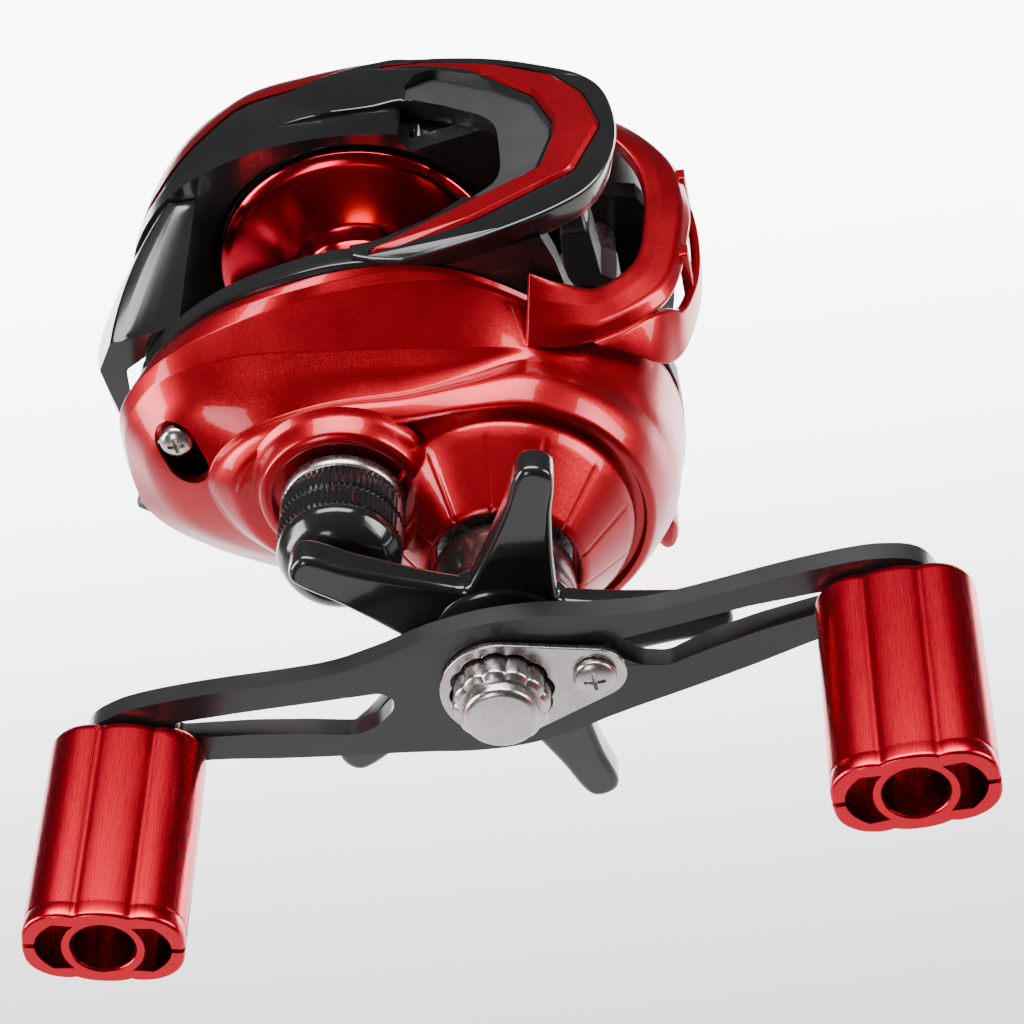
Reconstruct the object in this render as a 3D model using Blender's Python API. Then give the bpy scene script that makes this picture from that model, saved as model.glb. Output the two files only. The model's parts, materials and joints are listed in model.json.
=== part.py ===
"""Low-profile baitcasting fishing reel, right-hand crank, about 122 mm wide.

Frame: origin under the middle of the reel foot. +X points to the crank side,
+Y to the rod tip and +Z up. Lengths are in millimetres until mesh() scales them.
"""
import math

import bmesh
import bpy
from mathutils import Matrix, Vector

MM = 0.001

# Shaft axes, all parallel to X, as (Y, Z)
SPOOL = (0.0, 23.0)
CRANK = (17.65, 14.3)
WORM = (29.2, 22.7)

# Gear train
DRIVE_MODULE = 0.48
DRIVE_TEETH = 72
PINION_TEETH = 10
PINION_SHIFT = 0.4
WIND_TEETH = 40
WORM_TEETH = 18
WIND_MODULE = 2 * math.dist(CRANK, WORM) / (WIND_TEETH + WORM_TEETH)
BACKLASH = 0.09
FEW_TEETH = 12

# Foot and line guide
FOOT_THICK = 1.9
GUIDE_ROD = (WORM[0], WORM[1] - 6.0)
EYE_HEIGHT = 37.0

# Side plates and covers, as X stations
PLATE_INNER = 11.6
PLATE_WEB = 13.1
PLATE_OUTER = 14.6
COVER_RIM = 14.9
RING_BORE = 18.5

# Crank and handle
HANDLE_TILT = math.radians(6.0)
HANDLE_FACE = 60.0
HANDLE_THICK = 2.6
HANDLE_SWEEP = 3.0
KNOB_REACH = 45.0
KNOB_DROP = -1.0
KNOB_START = 57.9
KNOB_LENGTH = 30.3
SECTION_POINTS = 36
KNOB_TURNS = {"front": 3.0, "rear": -12.0}
STAR_ARMS = 5
STAR_START = 49.6
MAGNETS = 4

MATERIALS = {
    "candy_red": ((0.58, 0.0, 0.02), 0.22, 0.7),
    "anodised_red": ((0.68, 0.02, 0.05), 0.3, 0.9),
    "gloss_black": ((0.012, 0.012, 0.013), 0.18, 0.0),
    "satin_black": ((0.03, 0.03, 0.032), 0.4, 0.3),
    "steel": ((0.62, 0.58, 0.57), 0.25, 1.0),
    "brass": ((0.72, 0.52, 0.24), 0.3, 1.0),
    "aluminium": ((0.72, 0.72, 0.74), 0.35, 1.0),
    "polymer": ((0.05, 0.05, 0.055), 0.5, 0.0),
    "carbon": ((0.035, 0.035, 0.04), 0.6, 0.0),
    "ceramic": ((0.78, 0.78, 0.76), 0.15, 0.0),
}


def material(name):
    """Return the named material, made once."""
    found = bpy.data.materials.get(name)
    if found:
        return found
    colour, roughness, metallic = MATERIALS[name]
    made = bpy.data.materials.new(name)
    made.use_nodes = True
    shader = made.node_tree.nodes["Principled BSDF"]
    shader.inputs["Base Color"].default_value = (*colour, 1.0)
    shader.inputs["Roughness"].default_value = roughness
    shader.inputs["Metallic"].default_value = metallic
    return made


def mesh(name, points, faces):
    """One object from millimetre points, with its faces turned outwards."""
    data = bpy.data.meshes.new(name)
    data.from_pydata([[c * MM for c in point] for point in points], [], faces)
    work = bmesh.new()
    work.from_mesh(data)
    bmesh.ops.recalc_face_normals(work, faces=work.faces)
    work.to_mesh(data)
    work.free()
    made = bpy.data.objects.new(name, data)
    bpy.context.collection.objects.link(made)
    return made


def loft(name, rings, closed=False):
    """Skin a list of equal rings; closed joins the last ring to the first."""
    count = len(rings[0])
    points = [point for ring in rings for point in ring]
    spans = len(rings) if closed else len(rings) - 1
    faces = []
    for row in range(spans):
        start = row * count
        end = ((row + 1) % len(rings)) * count
        for i in range(count):
            j = (i + 1) % count
            faces.append((start + i, start + j, end + j, end + i))
    if not closed:
        faces.append(tuple(range(count)))
        faces.append(tuple(range(len(points) - count, len(points))))
    return mesh(name, points, faces)


def prism(name, outline, x0, x1):
    """Extrude a (Y, Z) outline from x0 to x1."""
    return loft(name, [[(x, y, z) for y, z in outline] for x in (x0, x1)])


def circle(radius, centre=(0.0, 0.0), count=24):
    """Points of a circle in the (Y, Z) plane."""
    turns = [2 * math.pi * i / count for i in range(count)]
    return [(centre[0] + radius * math.cos(a), centre[1] + radius * math.sin(a)) for a in turns]


def rectangle(centre, half_y, half_z):
    """Corners of a rectangle in the (Y, Z) plane."""
    return [(centre[0] + a * half_y, centre[1] + b * half_z)
            for a, b in ((-1, -1), (1, -1), (1, 1), (-1, 1))]


def turned(name, profile, axis, count=20):
    """Turn a closed (X, radius) profile about an axis that runs along X."""
    rings = [[(x, y, z) for y, z in circle(radius, axis, count)] for x, radius in profile]
    return loft(name, rings, closed=True)


def rod(name, steps, axis, count=16):
    """Stepped shaft from (X, radius) steps, closed at both ends."""
    return loft(name, [[(x, y, z) for y, z in circle(radius, axis, count)] for x, radius in steps])


def washer(name, x0, x1, inner, outer, axis, count=20):
    """Plain ring between two X stations."""
    return turned(name, [(x0, inner), (x1, inner), (x1, outer), (x0, outer)], axis, count)


def smooth_curve(points, steps=2, closed=True):
    """Catmull-Rom curve through points, with the given steps in each span."""
    count = len(points)
    spans = count if closed else count - 1
    made = []
    for i in range(spans):
        near = [points[(i + k) % count] if closed else points[min(max(i + k, 0), count - 1)]
                for k in (-1, 0, 1, 2)]
        for step in range(steps):
            t = step / steps
            weights = (-t + 2 * t * t - t ** 3, 2 - 5 * t * t + 3 * t ** 3,
                       t + 4 * t * t - 3 * t ** 3, t ** 3 - t * t)
            made.append(tuple(0.5 * sum(w * p[axis] for w, p in zip(weights, near))
                              for axis in range(len(points[0]))))
    if not closed:
        made.append(tuple(points[-1]))
    return made


def combine(target, tools, operation):
    """Apply an exact Boolean of each tool to the target, then drop the tool."""
    for tool in tools:
        step = target.modifiers.new(operation, "BOOLEAN")
        step.operation = operation
        step.solver = "EXACT"
        step.object = tool
        graph = bpy.context.evaluated_depsgraph_get()
        graph.update()
        result = bpy.data.meshes.new_from_object(target.evaluated_get(graph))
        target.modifiers.clear()
        target.data = result
        bpy.data.objects.remove(tool)
    return target


def cut(target, *tools):
    return combine(target, tools, "DIFFERENCE")


def fuse(target, *tools):
    return combine(target, tools, "UNION")


def body_empty(name, axis, x=0.0):
    """Empty on a joint's axis, which carries one moving body."""
    made = bpy.data.objects.new(name, None)
    made.location = Vector((x, axis[0], axis[1])) * MM
    bpy.context.collection.objects.link(made)
    return made


def dress(made, finish, body=None):
    """Give an object its material and smooth shading, and parent it to its body."""
    made.data.materials.clear()
    made.data.materials.append(material(finish))
    made.data.shade_smooth()
    made.data.set_sharp_from_angle(angle=math.radians(38))
    if body:
        made.parent = body
        made.matrix_parent_inverse = Matrix.Translation(-body.location)
    return made


# Side outlines, as (Y, Z) from the tail, over the top and round the nose

PLATE_TOP = [(-29.0, 23.0), (-27.8, 30.5), (-21.5, 37.9), (-11.0, 42.3), (0.0, 43.3), (8.4, 42.3),
             (9.2, 39.5), (18.0, 41.1), (26.5, 42.6), (27.6, 39.0), (28.4, 34.0), (30.2, 29.6), (35.8, 28.2),
             (38.0, 24.5), (39.2, 18.5)]
GEAR_SIDE_LOW = [(38.9, 9.5), (36.5, 2.3), (31.3, -2.7), (24.5, -5.3), (17.6, -6.0), (10.0, -4.8),
                 (1.5, -1.3), (-8.5, 3.5), (-19.0, 9.0), (-26.5, 15.6)]
PALM_SIDE_LOW = [(38.0, 10.0), (34.5, 4.0), (28.0, 1.2), (18.0, 0.8), (4.0, 0.8), (-8.0, 2.2),
                 (-19.0, 8.0), (-26.5, 15.6)]

# Crank-side cover: X station and outline; the front top steps in under the bumper
COVER_RINGS = [
    (14.9, [(-28.8, 23.0), (-27.3, 30.3), (-21.0, 37.6), (-11.0, 41.5), (0.0, 42.0), (9.2, 39.4),
            (17.0, 39.6), (23.8, 37.4), (25.0, 32.0), (31.4, 29.8), (36.5, 25.0), (39.0, 18.0),
            (38.9, 9.5), (36.5, 2.3), (31.3, -2.7), (24.5, -5.3), (17.6, -6.0), (10.0, -4.8),
            (1.5, -1.3), (-8.5, 3.6), (-19.0, 9.2), (-26.5, 15.7)]),
    (19.2, [(-28.2, 23.1), (-26.3, 30.2), (-20.6, 36.4), (-10.8, 38.6), (0.0, 38.3), (9.2, 36.6),
            (17.0, 36.0), (23.0, 34.6), (24.4, 31.9), (30.6, 29.2), (36.0, 24.4), (38.7, 17.8),
            (38.7, 9.8), (36.4, 2.8), (31.2, -2.4), (24.5, -5.1), (17.6, -5.7), (10.1, -4.5),
            (1.8, -1.0), (-8.2, 4.0), (-18.5, 9.6), (-25.8, 15.8)]),
    (22.0, [(-26.8, 23.2), (-25.0, 30.0), (-20.0, 35.2), (-10.5, 36.6), (0.0, 35.6), (9.4, 34.2),
            (16.0, 33.2), (22.4, 31.8), (24.6, 29.4), (30.0, 27.8), (35.3, 24.0), (38.2, 17.5),
            (38.4, 10.5), (36.2, 3.4), (31.2, -1.7), (24.5, -4.4), (17.6, -5.1), (10.2, -4.0),
            (2.0, -0.4), (-7.5, 4.7), (-17.5, 10.2), (-24.5, 16.0)]),
    (28.0, [(-21.5, 23.0), (-20.0, 28.0), (-16.0, 31.5), (-9.5, 32.8), (0.0, 33.0), (9.0, 32.8),
            (15.5, 32.0), (21.0, 30.8), (25.5, 29.4), (30.0, 27.0), (34.0, 23.0), (36.2, 17.0),
            (36.5, 11.0), (34.5, 5.0), (30.0, 0.0), (24.3, -2.7), (17.6, -3.3), (10.5, -2.3),
            (3.5, 0.8), (-5.0, 5.5), (-13.0, 10.5), (-19.0, 16.5)]),
    (31.5, [(-14.0, 23.0), (-13.0, 27.0), (-10.5, 30.0), (-6.0, 31.8), (0.0, 31.5), (8.0, 30.5),
            (14.5, 30.3), (20.0, 29.8), (25.0, 28.4), (29.3, 25.5), (32.3, 21.5), (34.0, 16.5),
            (34.0, 11.0), (32.3, 6.0), (28.5, 2.0), (23.5, -0.4), (17.6, -1.0), (11.3, -0.2),
            (5.0, 2.6), (-2.5, 8.0), (-9.0, 12.5), (-13.0, 18.0)]),
]
COVER_WALL = 1.2
CAVITY_END = 30.0
COVER_SCREW = (-19.6, 28.2)

# Palm-side outline, shared by the frame's wide palm band and the red cover outside it
PALM_RIM = [(-28.8, 23.0), (-27.5, 30.3), (-21.3, 37.6), (-11.0, 42.0), (0.0, 43.0), (7.6, 42.0),
            (9.2, 39.2), (17.0, 39.4), (22.6, 37.0), (24.2, 30.8), (31.0, 28.8), (35.4, 24.0),
            (36.6, 17.0), (35.0, 10.0), (31.0, 5.0),
            (24.0, 2.0), (14.0, 0.8), (3.0, 0.8), (-8.0, 2.2), (-19.0, 8.0), (-26.4, 15.6)]
PALM_MIDDLE = (2.0, 22.0)
PALM_END = -32.4
PALM_DOME = [(0.0, 0.0), (0.3, 0.4), (0.6, 1.6), (0.85, 4.4), (1.0, 9.5)]


def palm_edge(y):
    """X where the frame's palm band ends: further out at the front, closer in at the tail."""
    if y < -13.0:
        return -24.0 + 0.6 * min(11.0, -13.0 - y)
    return -24.0 - 0.25 * min(16.0, max(0.0, y + 6.0))


def inset(outline, amount, middle):
    """Move each point of an outline towards a middle point by a fixed amount."""
    made = []
    for y, z in outline:
        reach = math.hypot(y - middle[0], z - middle[1])
        keep = 1 - amount / reach
        made.append((middle[0] + (y - middle[0]) * keep, middle[1] + (z - middle[1]) * keep))
    return made


def blended(rings, x):
    """Outline of a ring table at any X station."""
    for (x0, low), (x1, high) in zip(rings, rings[1:]):
        if x <= x1:
            t = (x - x0) / (x1 - x0)
            return [(a[0] + (b[0] - a[0]) * t, a[1] + (b[1] - a[1]) * t) for a, b in zip(low, high)]
    return rings[-1][1]


def gear_outline(teeth, module, shift, centre, turn=0.0):
    """Involute spur gear outline with a tooth centred on the turn angle."""
    pitch = teeth * module / 2
    base = pitch * math.cos(math.radians(20))
    tip = pitch + module * (1.0 + shift)
    root = pitch - module * (1.25 - shift)
    at_pitch = (math.pi / 2 + 2 * shift * math.tan(math.radians(20))) / teeth
    at_pitch -= BACKLASH / 2 / pitch
    involute = math.tan(math.radians(20)) - math.radians(20)
    flank = []
    foot = max(root, base)
    for radius in (foot, tip) if teeth > FEW_TEETH else (foot, (foot + tip) / 2, tip):
        angle = math.acos(min(1.0, base / radius))
        flank.append((radius, at_pitch + involute - (math.tan(angle) - angle)))
    if teeth > FEW_TEETH:
        flank[0] = (root, flank[0][1])
    else:
        flank.insert(0, (root, flank[0][1]))
    outline = []
    for tooth in range(teeth):
        middle = turn + 2 * math.pi * tooth / teeth
        for side, points in ((-1, flank), (1, flank[::-1])):
            for radius, half in points:
                angle = middle + side * half
                outline.append((centre[0] + radius * math.cos(angle), centre[1] + radius * math.sin(angle)))
    return outline


def mesh_turn(driver, driven, driver_turn, driver_teeth, driven_teeth):
    """Turn angle that puts a driven gear's gap on the driver's tooth."""
    line = math.atan2(driven[1] - driver[1], driven[0] - driver[0])
    phase = (line - driver_turn) * driver_teeth
    return line + math.pi + (math.pi + phase) / driven_teeth


def build_frame():
    """Cast frame: two side plates, palm band, belly web, nose shell and tail bar."""
    gear_plate = prism("frame", PLATE_TOP + GEAR_SIDE_LOW, PLATE_INNER, PLATE_OUTER)
    palm_plate = prism("palm_plate", PLATE_TOP + PALM_SIDE_LOW, -PLATE_OUTER, -PLATE_INNER)
    belly = [(-20.5, 7.6), (-12.0, 4.6), (-6.0, 3.9), (6.0, 3.9), (13.0, 4.6), (18.0, 7.0), (26.0, 7.4),
             (26.0, 5.4), (18.0, 5.0), (15.0, 2.5), (-10.0, 2.5), (-21.5, 6.0)]
    nose = [(26.0, 5.4), (33.0, 8.0), (36.9, 12.5), (37.6, 18.5), (36.0, 18.5), (35.2, 13.4), (32.0, 9.8),
            (26.0, 7.4)]
    tail = [(-27.0, 15.4), (-19.0, 8.6), (-17.8, 9.8), (-25.9, 17.0)]
    reach = PLATE_INNER + 1.0
    bars = [prism("bar", outline, -reach, reach) for outline in (belly, nose, tail)]
    rim = smooth_curve(PALM_RIM, 2)
    edge = [palm_edge(y) for y, z in rim]
    start = [-13.6] * len(rim)
    rings = []
    for stations, amount in ((start, 0.2), (edge, 0.2), (edge, 1.8), (start, 1.8)):
        rings.append([(x, y, z) for x, (y, z) in zip(stations, inset(rim, amount, PALM_MIDDLE))])
    palm_band = loft("palm_band", rings, closed=True)
    frame = fuse(gear_plate, palm_plate, palm_band, *bars)
    holes = [
        prism("hole", circle(RING_BORE, SPOOL, 40), PLATE_INNER - 1, PLATE_WEB),
        prism("hole", circle(5.5, SPOOL), PLATE_WEB - 1, PLATE_OUTER + 1),
        prism("hole", circle(4.0, CRANK), PLATE_WEB - 3, PLATE_OUTER + 1),
        prism("hole", circle(3.2, WORM, 24), PLATE_INNER - 1, PLATE_OUTER + 1),
        prism("hole", circle(RING_BORE, SPOOL, 40), -PLATE_OUTER - 1, 1 - PLATE_INNER),
        prism("hole", circle(3.2, WORM, 24), -PLATE_OUTER + 0.8, 1 - PLATE_INNER),
        prism("hole", [(-26.2, 17.2), (-23.4, 16.4), (-20.6, 26.4), (-23.4, 27.4)], 10.0, 16.0),
    ]
    return dress(cut(frame, *holes), "gloss_black")


def build_foot():
    """Reel foot: a thin plate that the rod's hood clamps hold at both ends, with a seat for the frame."""
    half = [(6.6, -19.0), (6.4, -24.0), (5.2, -30.0), (2.6, -33.4)]
    right = half[::-1] + [(y, -x) for y, x in half]
    outline = right + [(-x, y) for x, y in right[::-1]]
    rings = []
    for z, shrink in ((0.0, 0.5), (0.5, 0.0), (1.4, 0.0), (FOOT_THICK, 0.6)):
        rings.append([(x * (1 - shrink / 7), y * (1 - shrink / 34), z) for x, y in outline])
    seat = loft("seat", [[(x, y, z) for x, y in ((-6.0, -14.0), (6.0, -14.0), (6.0, 17.0), (-6.0, 17.0))]
                         for z in (1.0, 2.2)])
    return dress(fuse(loft("reel_foot", rings), seat), "satin_black")


def hood_height(y):
    return 42.4 + 0.2 * (y - 9.6)


# Hood outline in plan, as (X, Y): outer edge from the crank side round the nose, then the inner edge
HOOD_OUTER = [(14.9, 9.6), (15.3, 15.0), (15.2, 22.0), (14.2, 28.5), (12.2, 33.0), (6.5, 35.6), (1.0, 36.2),
              (-6.9, 35.0), (-12.1, 32.3), (-16.1, 28.4), (-22.7, 20.1), (-28.4, 9.6)]
HOOD_INNER = [(-18.8, 9.6), (-14.1, 16.0), (-9.5, 20.4), (-3.4, 21.5), (2.9, 21.4), (5.6, 18.0), (9.8, 9.6)]
CHEVRON_OUTER = [(13.1, 11.2), (11.8, 18.7), (9.2, 26.9), (7.8, 31.6), (0.0, 34.2), (-7.7, 32.2),
                 (-13.9, 28.4), (-21.0, 20.1), (-26.2, 11.2)]
CHEVRON_INNER = [(-24.0, 12.4), (-17.4, 20.2), (-10.8, 25.9), (-3.6, 28.5), (-0.5, 28.4), (5.3, 26.7),
                 (7.4, 20.6), (9.8, 14.0)]
CHEVRON_MIDDLE = (-3.0, 16.0)


def on_hood(name, outline, low, high):
    """Solid over a plan outline, between two heights above the hood's top face."""
    return loft(name, [[(x, y, hood_height(y) + z) for x, y in outline] for z in (low, high)])


def build_hood():
    """Black U-shaped hood over the front of the spool; its palm-side leg is the wider one."""
    hood = on_hood("hood", HOOD_OUTER + HOOD_INNER, -2.6, 0.0)
    recess = []
    for edge, grow in ((CHEVRON_OUTER, 0.3), (CHEVRON_INNER, -0.3)):
        for place, (x, y) in enumerate(edge):
            reach = math.dist((x, y), CHEVRON_MIDDLE) / grow
            tip = 0.4 if place in (0, len(edge) - 1) else 0.0
            recess.append((x + (x - CHEVRON_MIDDLE[0]) / reach, y + (y - CHEVRON_MIDDLE[1]) / reach - tip))
    return dress(cut(hood, on_hood("recess", recess, -1.0, 1.0)), "gloss_black")


def build_inlay():
    return dress(on_hood("hood_inlay", CHEVRON_OUTER + CHEVRON_INNER, -0.7, 0.5), "candy_red")


def band(name, inner_edge, outer_edge, offset):
    """Strip with a slanted face, from its two top edges and a thickness offset."""
    rings = []
    for a, b in zip(inner_edge, outer_edge):
        normal = Vector((b[0] - a[0], b[1] - a[1], b[2] - a[2]))
        along = Vector((-a[1] + 10, a[0], 0.0))
        down = normal.cross(along)
        if down.z > 0:
            down.negate()
        down = down.normalized() * offset
        rings.append([tuple(a), tuple(b), tuple(Vector(b) + down), tuple(Vector(a) + down)])
    return loft(name, rings)


# Bumper edges, as (X, Y, Z) from the crank side round the nose to the palm side
BUMPER_TOP = [(16.0, 24.6, 38.7), (15.4, 28.5, 36.0), (14.0, 32.1, 33.9), (8.0, 36.2, 32.8),
              (0.0, 37.4, 32.7), (-8.0, 37.4, 32.9), (-14.0, 35.6, 33.6), (-19.5, 31.2, 35.2),
              (-23.4, 25.8, 37.8)]
BUMPER_LOW = [(22.0, 24.6, 32.0), (21.4, 28.6, 31.4), (19.6, 32.4, 30.9), (12.6, 40.2, 30.4),
              (0.0, 42.9, 31.0), (-8.0, 42.7, 30.8), (-14.6, 41.2, 30.6), (-21.4, 36.4, 31.0),
              (-27.0, 27.4, 32.4)]
NOSE_PATH = [(19.4, 37.4, 26.6), (16.2, 39.8, 25.6), (12.0, 41.6, 25.0), (4.0, 43.2, 24.3),
             (-4.0, 43.4, 24.2), (-11.0, 42.6, 24.4), (-17.0, 40.6, 25.0), (-22.4, 38.0, 25.8)]
CRANK_FIN = [(20.6, 31.4, 30.6), (13.8, 39.0, 30.0), (13.0, 40.6, 25.0), (18.2, 38.7, 25.2)]
PALM_FIN = [(-25.4, 31.0, 31.2), (-17.8, 39.2, 30.4), (-16.8, 40.0, 25.0), (-21.6, 38.0, 25.4)]


def build_bumper():
    """Red front guard: a slanted upper hoop, a lower nose hoop and joining webs."""
    upper = band("front_bumper", smooth_curve(BUMPER_TOP, 2, False),
                 smooth_curve(BUMPER_LOW, 2, False), 1.4)
    rings = []
    for x, y, z in smooth_curve(NOSE_PATH, 2, False):
        lean = Vector((x, y - 22.0, 0.0)).normalized()
        section = [(-1.4, 1.6), (0.0, 1.9), (0.0, -1.6), (-1.4, -1.4)]
        rings.append([(x + lean.x * a, y + lean.y * a, z + b) for a, b in section])
    lower = loft("nose_hoop", rings)
    parts = [lower]
    for side, fin in ((1, CRANK_FIN), (-1, PALM_FIN)):
        inner = [(x - side * 1.3, y - 0.9, z) for x, y, z in fin]
        parts.append(loft("fin", [fin, inner]))
    for middle in (5.0, -11.0):
        post = [(middle - 1.1, 41.0), (middle + 1.1, 41.0), (middle + 1.1, 42.4), (middle - 1.1, 42.4)]
        parts.append(loft("post", [[(x, y, z) for x, y in post] for z in (24.6, 30.8)]))
    return dress(fuse(upper, *parts), "candy_red")


def build_cover():
    """Red crank-side cover: a thin dome with the crank cone and the cap boss."""
    outer = [(x, smooth_curve(ring, 2)) for x, ring in COVER_RINGS]
    rings = [[(x, y, z) for y, z in ring] for x, ring in outer]
    middle = (8.0, 17.0)
    rings += [[(31.5, y, z) for y, z in inset(outer[-1][1], 9.5, middle)]]
    cavity = []
    for x in (CAVITY_END, 28.0, 22.0, 19.2, COVER_RIM):
        edge = inset(blended(COVER_RINGS, x), COVER_WALL, middle)
        cavity.append([(x, y, z) for y, z in edge])
    shell = loft("crank_cover", rings)
    hollow = loft("hollow", cavity + [[(COVER_RIM - 2, y, z) for x, y, z in cavity[-1]]])
    cone = rod("cone", [(30.6, 15.3), (34.0, 15.3), (40.6, 10.2)], CRANK, 32)
    boss = rod("boss", [(30.6, 10.2), (33.4, 10.2), (34.5, 9.4)], SPOOL, 28)
    cut(shell, hollow)
    fuse(shell, cone, boss)
    cut(shell,
        rod("bore", [(28.0, 8.05), (38.0, 8.05), (38.0, 9.2), (42.0, 9.4)], CRANK, 28),
        prism("bore", circle(4.05, SPOOL), 28.0, 36.0),
        prism("seat", circle(8.0, SPOOL), 34.5, 42.0))
    cut(shell,
        prism("hole", circle(2.5, COVER_SCREW, 20), 24.9, 34.0),
        prism("hole", circle(1.3, COVER_SCREW, 20), 20.0, 34.0))
    return dress(shell, "candy_red")


def build_cover_screw():
    """Pan-head cross screw that holds the crank-side cover."""
    screw = rod("cover_screw", [(16.5, 0.95), (25.2, 1.1), (25.2, 2.1), (26.2, 2.1), (26.8, 1.4)],
                COVER_SCREW, 20)
    for half in ((1.2, 0.3), (0.3, 1.2)):
        cut(screw, prism("slot", rectangle(COVER_SCREW, *half), 26.1, 27.5))
    dress(screw, "steel")


def build_palm_cover():
    """Red palm-side cover, a deep bowl with a recess for the brake dial."""
    rim = smooth_curve(PALM_RIM, 2)
    rings = []
    for wall, stations in ((1.5, PALM_DOME[::-1]), (0.0, PALM_DOME)):
        end = PALM_END + wall
        for share, amount in stations:
            outline = inset(rim, amount + wall, PALM_MIDDLE)
            edges = [palm_edge(y) - 0.3 for y, z in rim]
            rings.append([(edge + (end - edge) * share, y, z) for edge, (y, z) in zip(edges, outline)])
    shell = loft("palm_cover", rings)
    cut(shell, prism("recess", circle(12.0, SPOOL, 28), -34.0, -31.7),
        prism("bore", circle(3.2, SPOOL), -36.0, -20.0))
    return dress(shell, "candy_red")


def build_brake_plate():
    """Disc that closes the palm-side ring and carries the spool's palm bearing."""
    profile = [(-13.0, 4.6), (-13.0, 18.2), (-14.4, 18.2), (-14.4, 5.6), (-19.5, 5.6), (-19.5, 4.05),
               (-16.2, 4.05), (-16.2, 4.6)]
    return dress(turned("brake_plate", profile, SPOOL, 32), "satin_black")


def bearing(name, x0, x1, bore, outer, axis, body=None):
    """Shielded ball bearing as one solid ring."""
    return dress(washer(name, x0, x1, bore, outer, axis), "steel", body)


def build_spool(body):
    """Anodised spool, its shaft with the pin that the pinion drives, and the brake rotor."""
    half = [(1.6, 5.4), (7.6, 6.0), (9.4, 8.2), (11.4, 16.6), (12.5, 17.4),
            (12.3, 18.0), (11.5, 18.0), (10.8, 17.0), (8.6, 8.6), (6.6, 6.9)]
    profile = [(-1.6, 1.3), (1.6, 1.3)] + half + [(-x, radius) for x, radius in half[::-1]]
    dress(turned("spool", profile, SPOOL, 28), "anodised_red", body)
    shaft = rod("spool_shaft", [(-20.4, 1.0), (-20.0, 1.2), (37.8, 1.2), (38.2, 1.0)], SPOOL, 20)
    pin = loft("cross_pin", [[(12.9 + a, b, SPOOL[1] + z) for a, b in circle(0.5, count=12)]
                             for z in (-2.3, 2.3)])
    dress(fuse(shaft, pin), "steel", body)
    groove = [(-12.7, 8.9), (-12.7, 10.6), (-11.9, 10.6), (-11.9, 9.3), (-10.2, 9.3), (-10.2, 8.9)]
    dress(turned("brake_rotor", groove, SPOOL, 28), "aluminium", body)


def build_pinion(body):
    """Brass pinion: bearing collar, teeth and the neck that the yoke grips."""
    turn = mesh_turn(CRANK, SPOOL, 0.0, DRIVE_TEETH, PINION_TEETH)
    teeth = prism("pinion", gear_outline(PINION_TEETH, DRIVE_MODULE, PINION_SHIFT, SPOOL, turn), 16.0, 20.6)
    collar = rod("collar", [(13.3, 2.5), (15.0, 2.5), (15.0, 1.95), (16.2, 1.95)], SPOOL)
    neck = rod("neck", [(20.4, 1.95), (22.6, 1.95), (22.6, 3.0), (23.4, 3.0)], SPOOL)
    fuse(teeth, collar, neck)
    cut(teeth, prism("bore", circle(1.28, SPOOL, 20), 10.0, 26.0),
        prism("slot", rectangle(SPOOL, 0.65, 4.0), 12.0, 14.6))
    return dress(teeth, "brass", body)


def build_yoke(body):
    """Clutch yoke: lifts the pinion off the spool's cross pin."""
    outline = [(-7.0, 14.6), (2.6, 14.6), (2.6, 20.9), (-1.0, 20.9), (-2.1, 22.0), (-2.1, 24.0),
               (-1.0, 25.1), (2.6, 25.1), (2.6, 31.4), (-7.0, 31.4)]
    yoke = prism("clutch_yoke", outline, 20.9, 22.3)
    for z in (16.8, 29.2):
        cut(yoke, prism("hole", circle(1.1, (-4.2, z), 16), 20.0, 23.5))
    return dress(yoke, "polymer", body)


def build_yoke_posts():
    for name, z in (("lower", 16.8), ("upper", 29.2)):
        post = rod("yoke_post_" + name, [(14.9, 2.0), (15.6, 2.0), (15.6, 1.0), (26.4, 1.0)], (-4.2, z), 16)
        dress(post, "steel")


def build_crank(body):
    """Main shaft and everything keyed to it, out to the handle nut."""
    shaft = [(13.4, 1.95), (16.4, 1.95), (16.4, 3.0), (43.6, 3.0), (59.0, 3.0), (59.0, 2.2), (62.6, 2.2)]
    dress(rod("main_shaft", shaft, CRANK, 24), "steel", body)
    gear = prism("drive_gear", gear_outline(DRIVE_TEETH, DRIVE_MODULE, -PINION_SHIFT, CRANK), 16.6, 19.0)
    dress(cut(gear, prism("bore", circle(3.1, CRANK, 24), 15.0, 21.0)), "brass", body)
    wind = prism("level_wind_gear", gear_outline(WIND_TEETH, WIND_MODULE, 0.0, CRANK), 15.0, 16.3)
    dress(cut(wind, prism("bore", circle(2.0, CRANK, 24), 14.0, 18.0)), "polymer", body)
    dress(washer("drag_washer", 19.3, 20.1, 3.1, 11.4, CRANK, 24), "carbon", body)
    dress(washer("drag_plate", 20.4, 21.5, 3.1, 11.8, CRANK, 24), "steel", body)
    dress(washer("one_way_sleeve", 21.8, 40.8, 3.1, 4.6, CRANK), "steel", body)
    cup = [(41.1, 3.1), (41.9, 3.1), (43.4, 6.6), (42.6, 6.6)]
    dress(turned("spring_washer", cup, CRANK), "steel", body)


def handle_space(s, t, x):
    """Point on the handle: s along its length, t across it, x outwards."""
    sweep = HANDLE_SWEEP * max(0.0, abs(s) - 12.0) / (KNOB_REACH - 12.0)
    return (x - sweep, CRANK[0] + s * math.cos(HANDLE_TILT) - t * math.sin(HANDLE_TILT),
            CRANK[1] + s * math.sin(HANDLE_TILT) + t * math.cos(HANDLE_TILT))


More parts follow.
